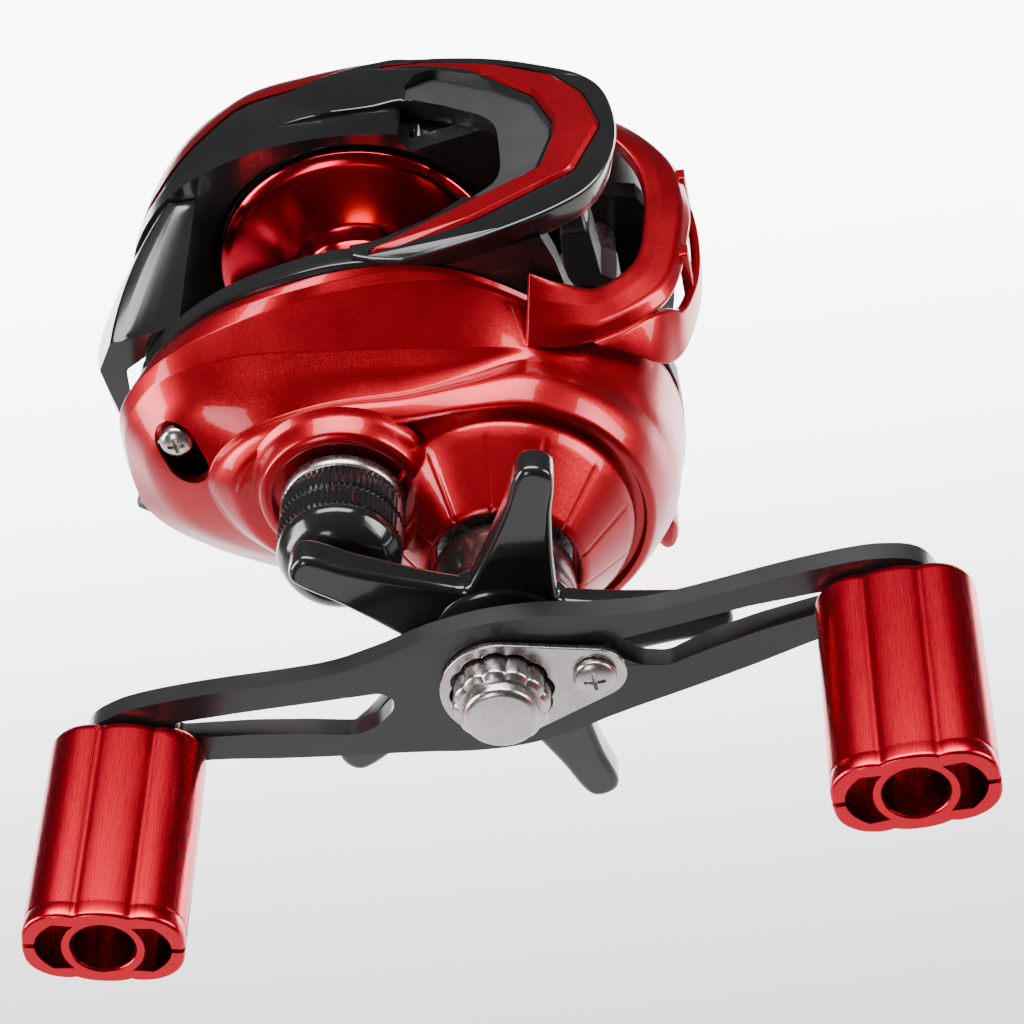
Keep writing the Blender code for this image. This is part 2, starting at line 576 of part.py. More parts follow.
HANDLE_TOP = [(0.0, 9.5), (6.5, 8.9), (12.0, 7.5), (18.0, 6.1), (24.0, 5.8), (33.0, 5.8), (40.5, 5.4),
              (45.0, 4.6), (48.6, 2.8), (50.0, -0.6), (48.8, -3.6), (45.6, -5.2), (41.0, -4.6),
              (36.0, -4.4), (28.0, -5.6), (20.0, -6.6), (12.0, -7.5), (6.0, -8.9)]
HANDLE_SLOT = [(12.4, 1.2), (13.6, 2.3), (18.0, 2.3), (30.0, 2.3), (38.6, 2.1), (38.9, -0.4),
               (30.0, -1.3), (24.0, -2.3), (18.4, -3.5), (15.4, -2.6), (12.8, -0.4)]


def build_handle(body):
    """Slotted double handle with swept arms."""
    left = [(-s, t) for s, t in HANDLE_TOP[:0:-1]]
    bottom = [(0.0, -9.5)]
    outline = HANDLE_TOP + bottom + left
    rings = []
    for x in (HANDLE_FACE - HANDLE_THICK, HANDLE_FACE):
        rings.append([handle_space(s, t, x) for s, t in outline])
    handle = loft("handle_arm", rings)
    cutters = []
    for side in (1, -1):
        slot = [(side * s, t) for s, t in HANDLE_SLOT]
        cutters.append(loft("slot", [[handle_space(s, t, x) for s, t in slot] for x in (54.0, 63.0)]))
        centre = handle_space(side * KNOB_REACH, KNOB_DROP, 0.0)[1:]
        cutters.append(prism("hole", circle(2.1, centre, 20), 50.0, 64.0))
    cutters.append(prism("hole", circle(3.1, CRANK, 24), 50.0, 59.3))
    cutters.append(prism("hole", circle(2.3, CRANK, 20), 58.0, 64.0))
    cutters.append(prism("hole", circle(1.1, retainer_screw_place(), 16), 50.0, 64.0))
    return dress(cut(handle, *cutters), "satin_black", body)


def retainer_screw_place():
    return handle_space(10.8, 0.0, 0.0)[1:]


def star_polygon(points, outer, inner, centre, turn=0.0):
    """Star outline whose tips and notches alternate."""
    made = []
    for i in range(2 * points):
        radius = outer if i % 2 == 0 else inner
        angle = turn + math.pi * i / points
        made.append((centre[0] + radius * math.cos(angle), centre[1] + radius * math.sin(angle)))
    return made


def build_handle_fastening(body):
    """Twelve-point handle nut, its retainer and the retainer's screw."""
    nut = prism("handle_nut", star_polygon(12, 5.6, 4.9, CRANK), 60.3, 64.0)
    fuse(nut, rod("cap", [(63.5, 4.3), (65.3, 4.3), (65.7, 3.9)], CRANK, 28))
    dress(cut(nut, prism("bore", circle(2.3, CRANK, 20), 59.0, 63.0)), "steel", body)
    place = retainer_screw_place()
    outline = []
    for i in range(32):
        angle = 2 * math.pi * i / 32
        across = abs(math.atan2(math.sin(angle - HANDLE_TILT), math.cos(angle - HANDLE_TILT)))
        if across < math.acos((7.2 - 3.6) / 10.8):
            outline.append((place[0] + 3.6 * math.cos(angle), place[1] + 3.6 * math.sin(angle)))
        else:
            outline.append((CRANK[0] + 7.2 * math.cos(angle), CRANK[1] + 7.2 * math.sin(angle)))
    plate = prism("nut_retainer", outline, 60.3, 61.1)
    cut(plate, prism("hole", star_polygon(12, 5.95, 5.25, CRANK), 59.0, 63.0),
        prism("hole", circle(1.1, place, 16), 59.0, 63.0))
    dress(plate, "steel", body)
    screw = rod("retainer_screw", [(57.8, 0.95), (61.4, 0.95), (61.4, 2.45), (61.9, 2.4), (62.5, 1.6)],
                place, 20)
    for half in ((1.6, 0.25), (0.25, 1.6)):
        cut(screw, prism("slot", rectangle(place, *half), 61.9, 63.0))
    dress(screw, "steel", body)


def knob_section(turn, centre):
    """Flat paddle section with three lobes on each broad face."""
    outline = []
    for i in range(SECTION_POINTS):
        angle = 2 * math.pi * i / SECTION_POINTS
        c, s = math.cos(angle), math.sin(angle)
        u = 8.9 * math.copysign(abs(c) ** 0.75, c)
        v = 5.4 * math.copysign(abs(s) ** 0.62, s)
        v *= 1.0 - 0.09 * (1 - math.cos(2 * math.pi * u / 6.2)) / 2 * min(1.0, abs(s) * 1.6)
        outline.append((centre[0] + u * math.cos(turn) - v * math.sin(turn),
                        centre[1] + u * math.sin(turn) + v * math.cos(turn)))
    return outline


def crescent(turn, centre, side):
    """Hollow between the knob's bore wall and its narrow end."""
    outline = []
    steps = 5
    for i in range(steps):
        angle = math.radians(-40 + 80 * i / (steps - 1))
        outline.append((7.3 * math.cos(angle) + 0.2, 4.9 * math.sin(angle)))
    for i in range(steps):
        angle = math.radians(44 - 88 * i / (steps - 1))
        outline.append((4.5 * math.cos(angle), 4.5 * math.sin(angle)))
    made = []
    for u, v in outline:
        u, v = side * u, side * v
        made.append((centre[0] + u * math.cos(turn) - v * math.sin(turn),
                     centre[1] + u * math.sin(turn) + v * math.cos(turn)))
    return made


def build_knob(end, side, crank_body, knob_body):
    """One paddle knob with its post, bearing and retaining screw."""
    centre = handle_space(side * KNOB_REACH, KNOB_DROP, 0.0)[1:]
    turn = math.radians(KNOB_TURNS[end])
    stop = KNOB_START + KNOB_LENGTH
    rings = []
    for x, grow in ((KNOB_START, 0.94), (KNOB_START + 0.8, 1.0), (stop - 0.6, 1.0), (stop, 0.95)):
        rings.append([(x, centre[0] + (y - centre[0]) * grow, centre[1] + (z - centre[1]) * grow)
                      for y, z in knob_section(turn, centre)])
    grip = loft("knob_%s" % end, rings)
    cut(grip,
        rod("bore", [(56.0, 2.4), (61.0, 2.4), (61.0, 3.4), (90.0, 3.4)], centre, 20),
        prism("hollow", crescent(turn, centre, 1), stop - 9.0, 90.0),
        prism("hollow", crescent(turn, centre, -1), stop - 9.0, 90.0))
    dress(grip, "anodised_red", knob_body)
    bearing("knob_bearing_%s" % end, 61.3, 64.3, 2.06, 3.35, centre, knob_body)
    foot = HANDLE_FACE - HANDLE_THICK - HANDLE_SWEEP
    post = rod("knob_post_%s" % end, [(foot - 1.0, 3.2), (foot - 0.3, 3.2), (foot - 0.3, 2.0), (76.0, 2.0)],
               centre, 20)
    dress(post, "steel", crank_body)
    screw = rod("knob_screw_%s" % end, [(76.3, 1.4), (76.8, 2.9), (78.2, 2.9), (78.7, 2.2)], centre, 20)
    slot = prism("slot", rectangle(centre, 2.0, 0.35), 78.0, 80.0)
    dress(cut(screw, slot), "steel", crank_body)


def build_star(body):
    """Five-armed drag star with a threaded hub."""
    arm_edge = [(9.0, -36.0), (10.5, -24.0), (15.0, -13.0), (20.0, -8.6), (24.8, -6.2), (26.2, -3.0),
                (26.4, 1.0), (26.0, 4.0), (24.4, 6.0), (20.0, 7.6), (15.0, 12.0), (10.5, 24.0)]
    outline = []
    for arm in range(STAR_ARMS):
        middle = 2 * math.pi * arm / STAR_ARMS
        for radius, degrees in arm_edge:
            angle = middle + math.radians(degrees)
            outline.append((CRANK[0] + radius * math.cos(angle), CRANK[1] + radius * math.sin(angle)))
    star = prism("drag_star", outline, STAR_START, STAR_START + 4.2)
    fuse(star, rod("hub", [(43.8, 7.6), (49.0, 8.6), (49.8, 8.6)], CRANK))
    return dress(cut(star, prism("bore", circle(3.1, CRANK, 24), 40.0, 56.0)), "gloss_black", body)


def build_tension_cap(body):
    """Silver threaded bush on the cover, and the knurled cap that screws on it."""
    bush = [(34.8, 3.6), (40.6, 3.6), (40.6, 5.2), (36.3, 5.2), (36.3, 7.0), (34.8, 7.0)]
    dress(turned("tension_bush", bush, SPOOL), "steel")
    cap = prism("tension_cap", star_polygon(20, 7.4, 7.0, SPOOL), 36.6, 45.4)
    fuse(cap, rod("dome", [(45.0, 6.9), (46.2, 6.7), (47.5, 5.4)], SPOOL, 24))
    cut(cap, rod("bore", [(36.0, 5.3), (41.2, 5.3), (41.2, 3.6), (42.6, 3.6)], SPOOL))
    dress(cap, "gloss_black", body)
    dress(rod("tension_spacer", [(38.5, 3.3), (40.9, 3.3)], SPOOL), "brass", body)


def build_worm(body):
    """Level-wind worm shaft and its gear."""
    steps = [(-13.4, 1.2), (-11.8, 1.2), (-11.6, 1.9), (11.8, 1.9), (12.0, 1.2), (16.3, 1.2)]
    dress(rod("worm_shaft", steps, WORM, 20), "steel", body)
    turn = mesh_turn(CRANK, WORM, 0.0, WIND_TEETH, WORM_TEETH)
    gear = prism("worm_gear", gear_outline(WORM_TEETH, WIND_MODULE, 0.0, WORM, turn), 15.0, 16.3)
    dress(cut(gear, prism("bore", circle(1.25, WORM, 20), 14.0, 18.0)), "polymer", body)


def build_level_wind():
    """Worm bushes, slotted guard tube and the rod that steadies the line guide."""
    dress(washer("worm_bush_palm", -13.7, -11.9, 1.26, 3.15, WORM, 24), "polymer")
    dress(washer("worm_bush_crank", 12.3, 14.6, 1.26, 3.15, WORM, 24), "polymer")
    guard = washer("worm_guard", -11.4, 11.4, 2.3, 3.3, WORM, 24)
    slot = prism("slot", rectangle((WORM[0], WORM[1] + 3.0), 1.2, 3.0), -10.0, 10.0)
    dress(cut(guard, slot), "steel")
    dress(rod("guide_rod", [(-11.3, 0.9), (11.3, 0.9)], GUIDE_ROD, 12), "steel")


def build_line_guide(body):
    """Carriage on the guard tube, with a tall eye that lays the line."""
    half = [(4.0, -7.6), (4.0, 3.8), (2.2, 5.0), (1.8, 11.6)]
    outline = [(WORM[0] + y, WORM[1] + z) for y, z in half + [(-y, z) for y, z in half[::-1]]]
    block = prism("line_guide", outline, -3.0, 3.0)
    fuse(block, eye_loop("eye", 4.0, (-1.4, 1.4)))
    cut(block, prism("bore", circle(3.4, WORM), -5.0, 5.0),
        prism("bore", circle(1.0, GUIDE_ROD, 12), -5.0, 5.0), eye_loop("bore", 3.0, (-3.0, 3.0)))
    dress(block, "polymer", body)
    rings = []
    for y, radius in ((-1.7, 2.9), (-1.7, 2.2), (1.7, 2.2), (1.7, 2.9)):
        rings.append([(a, WORM[0] + y, EYE_HEIGHT + b) for a, b in circle(radius, count=20)])
    dress(loft("line_guide_ring", rings, closed=True), "ceramic", body)


def eye_loop(name, radius, depth):
    """Disc that faces the rod tip, at the line guide's eye."""
    return loft(name, [[(a, WORM[0] + y, EYE_HEIGHT + b) for a, b in circle(radius, count=20)]
                       for y in depth])


def build_thumb_bar(body):
    """Clutch bar behind the spool, bowed backwards, and its clutch cam."""
    path = [(-18.9, 35.0), (-21.8, 34.9), (-25.6, 32.0), (-28.8, 27.4), (-30.5, 22.8), (-31.2, 19.2)]
    rings = []
    for x in (-11.2, -7.5, -3.5, 0.0, 3.5, 7.5, 11.2):
        bow = 2.8 * (1 - (x / 11.2) ** 2)
        outer = [(x, y - bow * i / 5, z) for i, (y, z) in enumerate(path)]
        inner = [(x, y + 2.2, z - 2.0) for y, z in path[::-1]]
        rings.append(outer + inner)
    dress(loft("thumb_bar", rings), "gloss_black", body)
    cam = [(-24.2, 21.0), (-22.6, 20.2), (-9.6, 20.6), (-9.0, 22.4), (-20.6, 25.0), (-22.0, 26.2),
           (-24.4, 26.6)]
    plate = prism("clutch_cam", cam, 14.9, 16.0)
    arm = prism("arm", [(-24.4, 22.6), (-23.0, 22.2), (-22.0, 25.4), (-23.6, 25.8)], 11.5, 15.2)
    dress(fuse(plate, arm), "steel", body)


def build_brake(dial_body):
    """Magnetic cast brake: palm-side dial, magnet carrier and its magnets."""
    rings = []
    for x, radius in ((-31.9, 11.2), (-33.4, 11.2), (-33.8, 10.6)):
        rings.append([(x, y, z) for y, z in circle(radius, SPOOL, 28)])
    dial = loft("brake_dial", rings)
    fuse(dial, rod("stem", [(-32.2, 3.1), (-21.4, 3.1)], SPOOL))
    dress(cut(dial, prism("bore", circle(1.6, SPOOL, 20), -30.0, -20.0)), "gloss_black", dial_body)
    carrier = washer("magnet_carrier", -18.6, -16.4, 6.2, 12.4, SPOOL, 28)
    seats = []
    for number in range(MAGNETS):
        angle = 2 * math.pi * number / MAGNETS
        seats.append((SPOOL[0] + 9.4 * math.cos(angle), SPOOL[1] + 9.4 * math.sin(angle)))
    for place in seats:
        cut(carrier, prism("seat", circle(1.8, place, 12), -17.9, -16.0))
    dress(carrier, "polymer", dial_body)
    for number, place in enumerate(seats, 1):
        magnet = rod("brake_magnet_%d" % number, [(-17.7, 1.65), (-16.4, 1.65)], place, 12)
        dress(magnet, "steel", dial_body)


def main():
    for old in list(bpy.data.objects):
        bpy.data.objects.remove(old)
    crank = body_empty("crank_axis", CRANK)
    spool = body_empty("spool_axis", SPOOL)
    yoke = body_empty("yoke_slide", SPOOL, 21.6)
    pinion = body_empty("pinion_axis", SPOOL, 18.0)
    star = body_empty("star_axis", CRANK, STAR_START)
    cap = body_empty("cap_axis", SPOOL, 41.0)
    worm = body_empty("worm_axis", WORM)
    guide = body_empty("guide_slide", WORM)
    bar = body_empty("thumb_bar_slide", (-28.0, 25.0))
    dial = body_empty("dial_axis", SPOOL, -32.0)

    build_frame()
    build_foot()
    build_hood()
    build_inlay()
    build_bumper()
    build_cover()
    build_cover_screw()
    build_palm_cover()
    build_brake_plate()
    bearing("spool_bearing_palm", -19.3, -16.5, 1.26, 4.0, SPOOL)
    bearing("spool_bearing_crank", 31.0, 33.8, 1.26, 4.0, SPOOL)
    bearing("pinion_bearing", 13.2, 14.6, 2.56, 5.45, SPOOL)
    bearing("crank_bearing", 13.2, 14.6, 2.0, 3.95, CRANK)
    bearing("one_way_bearing", 30.6, 37.7, 4.66, 8.0, CRANK)
    build_spool(spool)
    build_pinion(pinion)
    build_yoke(yoke)
    build_yoke_posts()
    build_crank(crank)
    build_handle(crank)
    build_handle_fastening(crank)
    for end, side in (("front", 1), ("rear", -1)):
        centre = handle_space(side * KNOB_REACH, KNOB_DROP, 0.0)[1:]
        build_knob(end, side, crank, body_empty("knob_%s_axis" % end, centre, KNOB_START))
    build_star(star)
    build_tension_cap(cap)
    build_worm(worm)
    build_level_wind()
    build_line_guide(guide)
    build_thumb_bar(bar)
    build_brake(dial)


main()
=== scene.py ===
"""Looks for the low-profile baitcasting reel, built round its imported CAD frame.

Lengths are in millimetres until new_mesh() scales them. +X points to the crank side,
+Y to the rod tip and +Z up.
"""

import json
import math

import bmesh
import bpy
import numpy as np
from mathutils import Matrix, Vector


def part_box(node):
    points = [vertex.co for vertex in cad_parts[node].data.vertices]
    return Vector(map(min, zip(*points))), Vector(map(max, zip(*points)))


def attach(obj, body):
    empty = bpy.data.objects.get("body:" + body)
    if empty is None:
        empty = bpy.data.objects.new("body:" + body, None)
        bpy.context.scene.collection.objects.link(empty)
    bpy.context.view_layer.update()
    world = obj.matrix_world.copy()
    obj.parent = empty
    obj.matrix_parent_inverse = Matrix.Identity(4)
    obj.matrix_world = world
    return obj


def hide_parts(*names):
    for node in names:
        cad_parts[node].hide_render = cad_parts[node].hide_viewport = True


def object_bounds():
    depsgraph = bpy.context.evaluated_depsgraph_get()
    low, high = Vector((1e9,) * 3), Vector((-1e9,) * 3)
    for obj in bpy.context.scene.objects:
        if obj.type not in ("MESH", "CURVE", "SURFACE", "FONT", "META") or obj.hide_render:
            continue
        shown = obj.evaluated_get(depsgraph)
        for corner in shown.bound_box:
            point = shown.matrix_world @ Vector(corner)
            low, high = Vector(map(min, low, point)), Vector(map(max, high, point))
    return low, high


MM = 0.001

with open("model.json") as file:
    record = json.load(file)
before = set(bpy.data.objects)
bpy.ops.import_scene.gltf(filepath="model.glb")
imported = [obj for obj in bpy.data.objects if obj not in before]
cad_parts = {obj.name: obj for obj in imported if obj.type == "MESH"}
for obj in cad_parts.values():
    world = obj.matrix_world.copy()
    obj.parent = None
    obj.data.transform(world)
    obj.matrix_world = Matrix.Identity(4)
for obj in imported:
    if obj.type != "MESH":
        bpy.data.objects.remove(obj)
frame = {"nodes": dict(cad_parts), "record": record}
CAD_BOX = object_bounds()
NODES = frame["nodes"]


def axis_of(node):
    """(Y, Z) of the middle of a CAD node, in millimetres."""
    low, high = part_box(node)
    return ((low.y + high.y) / 2 / MM, (low.z + high.z) / 2 / MM)


# Places read from the frame
SPOOL = axis_of("spool")
CRANK = axis_of("main_shaft")
KNOBS = {"front": axis_of("knob_post_front"), "rear": axis_of("knob_post_rear")}
COVER_SCREW = axis_of("cover_screw")

# Crank-side cover
WALL = 1.3
THIN_WALL = 0.6
COVER_START = 14.9
FACE_X = 31.3
CONE_BASE = 15.5
CONE_TOP = 9.9
CONE_RIBS = 13

# Handle and knobs
HANDLE_TILT = math.radians(6.0)
HANDLE_FACE = 60.0
HANDLE_THICK = 2.6
HANDLE_SWEEP = 3.0
KNOB_REACH = 45.0
KNOB_START = 57.9
KNOB_END = 88.2
KNOB_TURNS = {"front": math.radians(3.0), "rear": math.radians(-12.0)}

# Nut's retainer: round the nut at one end and round the screw at the other
RETAINER_SCREW = 10.8
RETAINER_WIDE = 7.0
RETAINER_NARROW = 3.6

# Drag star
STAR_ARMS = 5
STAR_START = 49.6
STAR_THICK = 4.2

# Hood: height over the legs' roots, and its slopes forwards and back along each leg
HOOD_TOP = 42.4
HOOD_ROOT = 9.6
HOOD_RISE = 0.2
CRANK_LEG_RISE = 0.17
PALM_LEG_RISE = 0.08

# Camera and floor, in metres
CAMERA_PLACE = (0.3485, 0.0690, 0.2769)
CAMERA_RIGHT = (-0.0135, 0.9847, -0.1736)
CAMERA_BACK = (0.7660, 0.1217, 0.6312)
CAMERA_LENS = 123.05
FLOOR_GAP = 0.16
LIT_PLACE = (0.02, 0.01, 0.02)


# ---------------------------------------------------------------- mesh helpers

def new_mesh(name, points, faces, sharp=32.0):
    """Object from millimetre points, faces turned outwards, smooth up to a sharp angle."""
    data = bpy.data.meshes.new(name)
    data.from_pydata([tuple(float(c) * MM for c in point) for point in points], [], faces)
    work = bmesh.new()
    work.from_mesh(data)
    bmesh.ops.recalc_face_normals(work, faces=work.faces)
    work.to_mesh(data)
    work.free()
    made = bpy.data.objects.new(name, data)
    bpy.context.collection.objects.link(made)
    shade(made, sharp)
    return made


def shade(piece, sharp=32.0):
    piece.data.shade_smooth()
    piece.data.set_sharp_from_angle(angle=math.radians(sharp))


def skin(name, rings, closed=False, sharp=32.0):
    """Surface through equal rings; closed joins the last ring to the first, else both ends are capped."""
    count = len(rings[0])
    points = [point for ring in rings for point in ring]
    faces = []
    for row in range(len(rings) if closed else len(rings) - 1):
        start = row * count
        end = ((row + 1) % len(rings)) * count
        for i in range(count):
            j = (i + 1) % count
            faces.append((start + i, start + j, end + j, end + i))
    if not closed:
        faces.append(tuple(range(count)))
        faces.append(tuple(range(len(points) - count, len(points))))
    return new_mesh(name, points, faces, sharp)


def prism(name, outline, x0, x1):
    return skin(name, [[(x, y, z) for y, z in outline] for x in (x0, x1)])


def circle(radius, centre=(0.0, 0.0), count=96):
    turns = [2 * math.pi * i / count for i in range(count)]
    return [(centre[0] + radius * math.cos(a), centre[1] + radius * math.sin(a)) for a in turns]


def lathe(name, profile, axis, count=128, closed=True, ripple=None):
    """Turn an (X, radius) profile about an axis along X; ripple(x, radius, angle) may shift a radius."""
    rings = []
    for x, radius in profile:
        ring = []
        for i in range(count):
            angle = 2 * math.pi * i / count
            r = ripple(x, radius, angle) if ripple else radius
            ring.append((x, axis[0] + r * math.cos(angle), axis[1] + r * math.sin(angle)))
        rings.append(ring)
    return skin(name, rings, closed)


def curve_through(points, steps=8, closed=True):
    """Catmull-Rom curve through points of any size."""
    p = np.array(points, float)
    count = len(p)
    made = []
    for i in range(count if closed else count - 1):
        if closed:
            a, b, c, d = (p[(i + k) % count] for k in (-1, 0, 1, 2))
        else:
            a, b, c, d = (p[min(max(i + k, 0), count - 1)] for k in (-1, 0, 1, 2))
        for step in range(steps):
            t = step / steps
            made.append(0.5 * ((2 * b) + (c - a) * t + (2 * a - 5 * b + 4 * c - d) * t * t
                               + (3 * b - a - 3 * c + d) * t ** 3))
    if not closed:
        made.append(p[-1])
    return [tuple(q) for q in made]


def rounded_profile(points, radius=0.3, steps=3):
    """Polyline with each inner corner replaced by a small arc."""
    p = [np.array(q, float) for q in points]
    made = [tuple(p[0])]
    for before, corner, after in zip(p, p[1:], p[2:]):
        back, on = before - corner, after - corner
        reach = min(radius, np.linalg.norm(back) * 0.45, np.linalg.norm(on) * 0.45)
        start = corner + back / np.linalg.norm(back) * reach
        end = corner + on / np.linalg.norm(on) * reach
        for step in range(steps + 1):
            t = step / steps
            made.append(tuple(start * (1 - t) ** 2 + 2 * corner * t * (1 - t) + end * t * t))
    made.append(tuple(p[-1]))
    return made


def rounded_loop(points, radius=0.3, steps=3):
    """Closed polygon with rounded corners."""
    wrapped = [points[-1]] + list(points) + [points[0]]
    return rounded_profile(wrapped, radius, steps)[1:-1]


def settle(piece):
    """Apply a piece's modifiers."""
    graph = bpy.context.evaluated_depsgraph_get()
    graph.update()
    result = bpy.data.meshes.new_from_object(piece.evaluated_get(graph))
    piece.modifiers.clear()
    piece.data = result
    return piece


def combine(target, tools, operation):
    """Exact Boolean of each tool with the target; the tools are removed."""
    for tool in tools:
        step = target.modifiers.new(operation, "BOOLEAN")
        step.operation = operation
        step.solver = "EXACT"
        step.object = tool
        settle(target)
        bpy.data.objects.remove(tool)
    shade(target)
    return target


def cut(target, *tools):
    return combine(target, tools, "DIFFERENCE")


def fuse(target, *tools):
    return combine(target, tools, "UNION")


def gather(target, *others):
    """Put several meshes into one object without a Boolean."""
    work = bmesh.new()
    for piece in (target, *others):
        work.from_mesh(piece.data)
    work.to_mesh(target.data)
    work.free()
    for piece in others:
        bpy.data.objects.remove(piece)
    return target


def soften(piece, width=0.3, segments=3, angle=32.0):
    """Round the sharp edges, and keep the flat faces flat in shading."""
    step = piece.modifiers.new("edges", "BEVEL")
    step.width = width * MM
    step.segments = segments
    step.limit_method = "ANGLE"
    step.angle_limit = math.radians(angle)
    step.miter_outer = "MITER_ARC"
    settle(piece)
    piece.data.shade_smooth()
    step = piece.modifiers.new("normals", "WEIGHTED_NORMAL")
    step.keep_sharp = False
    step.weight = 80
    return settle(piece)


def refined(node, width, segments=2, angle=30.0):
    """New piece with a CAD node's shape and rounded edges."""
    piece = bpy.data.objects.new("fine_" + node, NODES[node].data.copy())
    bpy.context.collection.objects.link(piece)
    if "custom_normal" in piece.data.attributes:
        piece.data.attributes.remove(piece.data.attributes["custom_normal"])
    work = bmesh.new()
    work.from_mesh(piece.data)
    bmesh.ops.remove_doubles(work, verts=work.verts, dist=0.00001)
    bmesh.ops.dissolve_limit(work, angle_limit=math.radians(1.0), verts=work.verts, edges=work.edges)
    work.to_mesh(piece.data)
    work.free()
    return soften(piece, width, segments, angle)


def inset(outline, amount, middle):
    """Move each point of an outline towards a middle point."""
    made = []
    for y, z in outline:
        keep = 1 - amount / math.hypot(y - middle[0], z - middle[1])
        made.append((middle[0] + (y - middle[0]) * keep, middle[1] + (z - middle[1]) * keep))
    return made


# ------------------------------------------------------------------- materials

class Nodes:
    """Short way to write a material's node tree."""

    def __init__(self, name):
        self.material = bpy.data.materials.new(name)
        self.material.use_nodes = True
        self.tree = self.material.node_tree
        self.shader = self.tree.nodes["Principled BSDF"]
        self.place = self.add("ShaderNodeTexCoord").outputs["Object"]

    def add(self, kind, **inputs):
        node = self.tree.nodes.new(kind)
        for key, value in inputs.items():
            self.put(node.inputs[key.replace("_", " ")], value)
        return node

    def put(self, socket, value):
        if isinstance(value, bpy.types.NodeSocket):
            self.tree.links.new(value, socket)
        else:
            socket.default_value = value

    def set(self, **inputs):
        for key, value in inputs.items():
            self.put(self.shader.inputs[key.replace("_", " ")], value)

    def scaled(self, x, y, z):
        node = self.add("ShaderNodeMapping", Vector=self.place)
        node.inputs["Scale"].default_value = (x, y, z)
        return node.outputs["Vector"]

    def noise(self, scale, detail=3.0, roughness=0.55, vector=None):
        return self.add("ShaderNodeTexNoise", Vector=vector or self.place, Scale=scale, Detail=detail,
                        Roughness=roughness).outputs["Fac"]

    def span(self, value, low, high, start=0.3, stop=0.7):
        """Map a value from start..stop to low..high."""
        node = self.add("ShaderNodeMapRange", Value=value)
        for key, number in (("From Min", start), ("From Max", stop), ("To Min", low), ("To Max", high)):
            node.inputs[key].default_value = number
        return node.outputs["Result"]

    def mix(self, factor, first, second):
        """Mix two colours; 6 and 7 are the node's colour inputs, and 2 is its colour output."""
        node = self.tree.nodes.new("ShaderNodeMix")
        node.data_type = "RGBA"
        self.put(node.inputs["Factor"], factor)
        self.put(node.inputs[6], first)
        self.put(node.inputs[7], second)
        return node.outputs[2]

    def bump(self, height, strength, distance=0.0001):
        node = self.add("ShaderNodeBump", Height=height, Strength=strength, Distance=distance)
        return node.outputs["Normal"]


def rgb(r, g, b):
    return (r, g, b, 1.0)


def candy_paint():
    """Clear coat over red metallic paint with fine flakes."""
    n = Nodes("candy_red")
    flakes = n.add("ShaderNodeTexVoronoi", Vector=n.place, Scale=9000.0)
    split = n.add("ShaderNodeSeparateColor", Color=flakes.outputs["Color"])
    wide = n.span(n.noise(55.0), 0.0, 1.0)
    body = n.mix(wide, rgb(0.38, 0.0, 0.008), rgb(0.46, 0.0, 0.011))
    glint = n.span(split.outputs["Red"], 0.0, 0.22, 0.75, 1.0)
    base = n.mix(glint, body, rgb(0.80, 0.008, 0.025))
    tilt = n.add("ShaderNodeVectorMath")
    tilt.operation = "MULTIPLY_ADD"
    n.put(tilt.inputs[0], flakes.outputs["Color"])
    tilt.inputs[1].default_value = (0.07, 0.07, 0.07)
    tilt.inputs[2].default_value = (-0.035, -0.035, -0.035)
    lean = n.add("ShaderNodeVectorMath")
    n.put(lean.inputs[0], n.add("ShaderNodeNewGeometry").outputs["Normal"])
    n.put(lean.inputs[1], tilt.outputs["Vector"])
    unit = n.add("ShaderNodeVectorMath")
    unit.operation = "NORMALIZE"
    n.put(unit.inputs[0], lean.outputs["Vector"])
    n.set(Base_Color=base, Metallic=0.85, Roughness=n.span(n.noise(240.0), 0.33, 0.38),
          Normal=unit.outputs["Vector"], Coat_Weight=0.55, Coat_Roughness=0.07)
    return n.material


def anodised_red(name, low, high, bump):
    """Bright red anodised aluminium with fine marks along X."""
    n = Nodes(name)
    grain = n.noise(1.0, 2.0, 0.5, n.scaled(260.0, 9500.0, 9500.0))
    wide = n.span(n.noise(40.0), 0.0, 1.0)
    base = n.mix(wide, rgb(0.66, 0.003, 0.024), rgb(0.72, 0.006, 0.030))
    n.set(Base_Color=base, Metallic=1.0, Roughness=n.span(grain, low, high),
          Normal=n.bump(grain, bump, 0.00002), Coat_Weight=0.2, Coat_Roughness=0.15)
    return n.material


def black_plastic(name, tone, low, high, grain_scale, bump, coat):
    """Black moulding or coating whose gloss and grain vary a little."""
    n = Nodes(name)
    grain = n.noise(grain_scale, 4.0, 0.6)
    wide = n.span(n.noise(60.0), 0.0, 1.0)
    base = n.mix(wide, rgb(tone, tone, tone * 1.05), rgb(tone * 1.7, tone * 1.7, tone * 1.8))
    n.set(Base_Color=base, Roughness=n.span(wide, low, high, 0.0, 1.0), Normal=n.bump(grain, bump),
          Coat_Weight=coat, Coat_Roughness=0.06)
    return n.material


def metal(name, dark, light, low, high, scale, vector_scale=(1.0, 1.0, 1.0), bump=0.05):
    """Bare metal with fine tool marks and slight staining."""
    n = Nodes(name)
    marks = n.noise(scale, 5.0, 0.65, n.scaled(*vector_scale))
    stain = n.span(n.noise(180.0), 0.0, 1.0)
    n.set(Base_Color=n.mix(stain, rgb(*dark), rgb(*light)), Metallic=1.0,
          Roughness=n.span(marks, low, high), Normal=n.bump(marks, bump))
    return n.material


def woven_carbon():
    n = Nodes("carbon")
    weave = n.add("ShaderNodeTexChecker", Vector=n.place, Scale=900.0).outputs["Fac"]
    n.set(Base_Color=n.mix(weave, rgb(0.02, 0.02, 0.022), rgb(0.06, 0.06, 0.065)),
          Roughness=n.span(weave, 0.35, 0.6, 0.0, 1.0), Normal=n.bump(weave, 0.3))
    return n.material


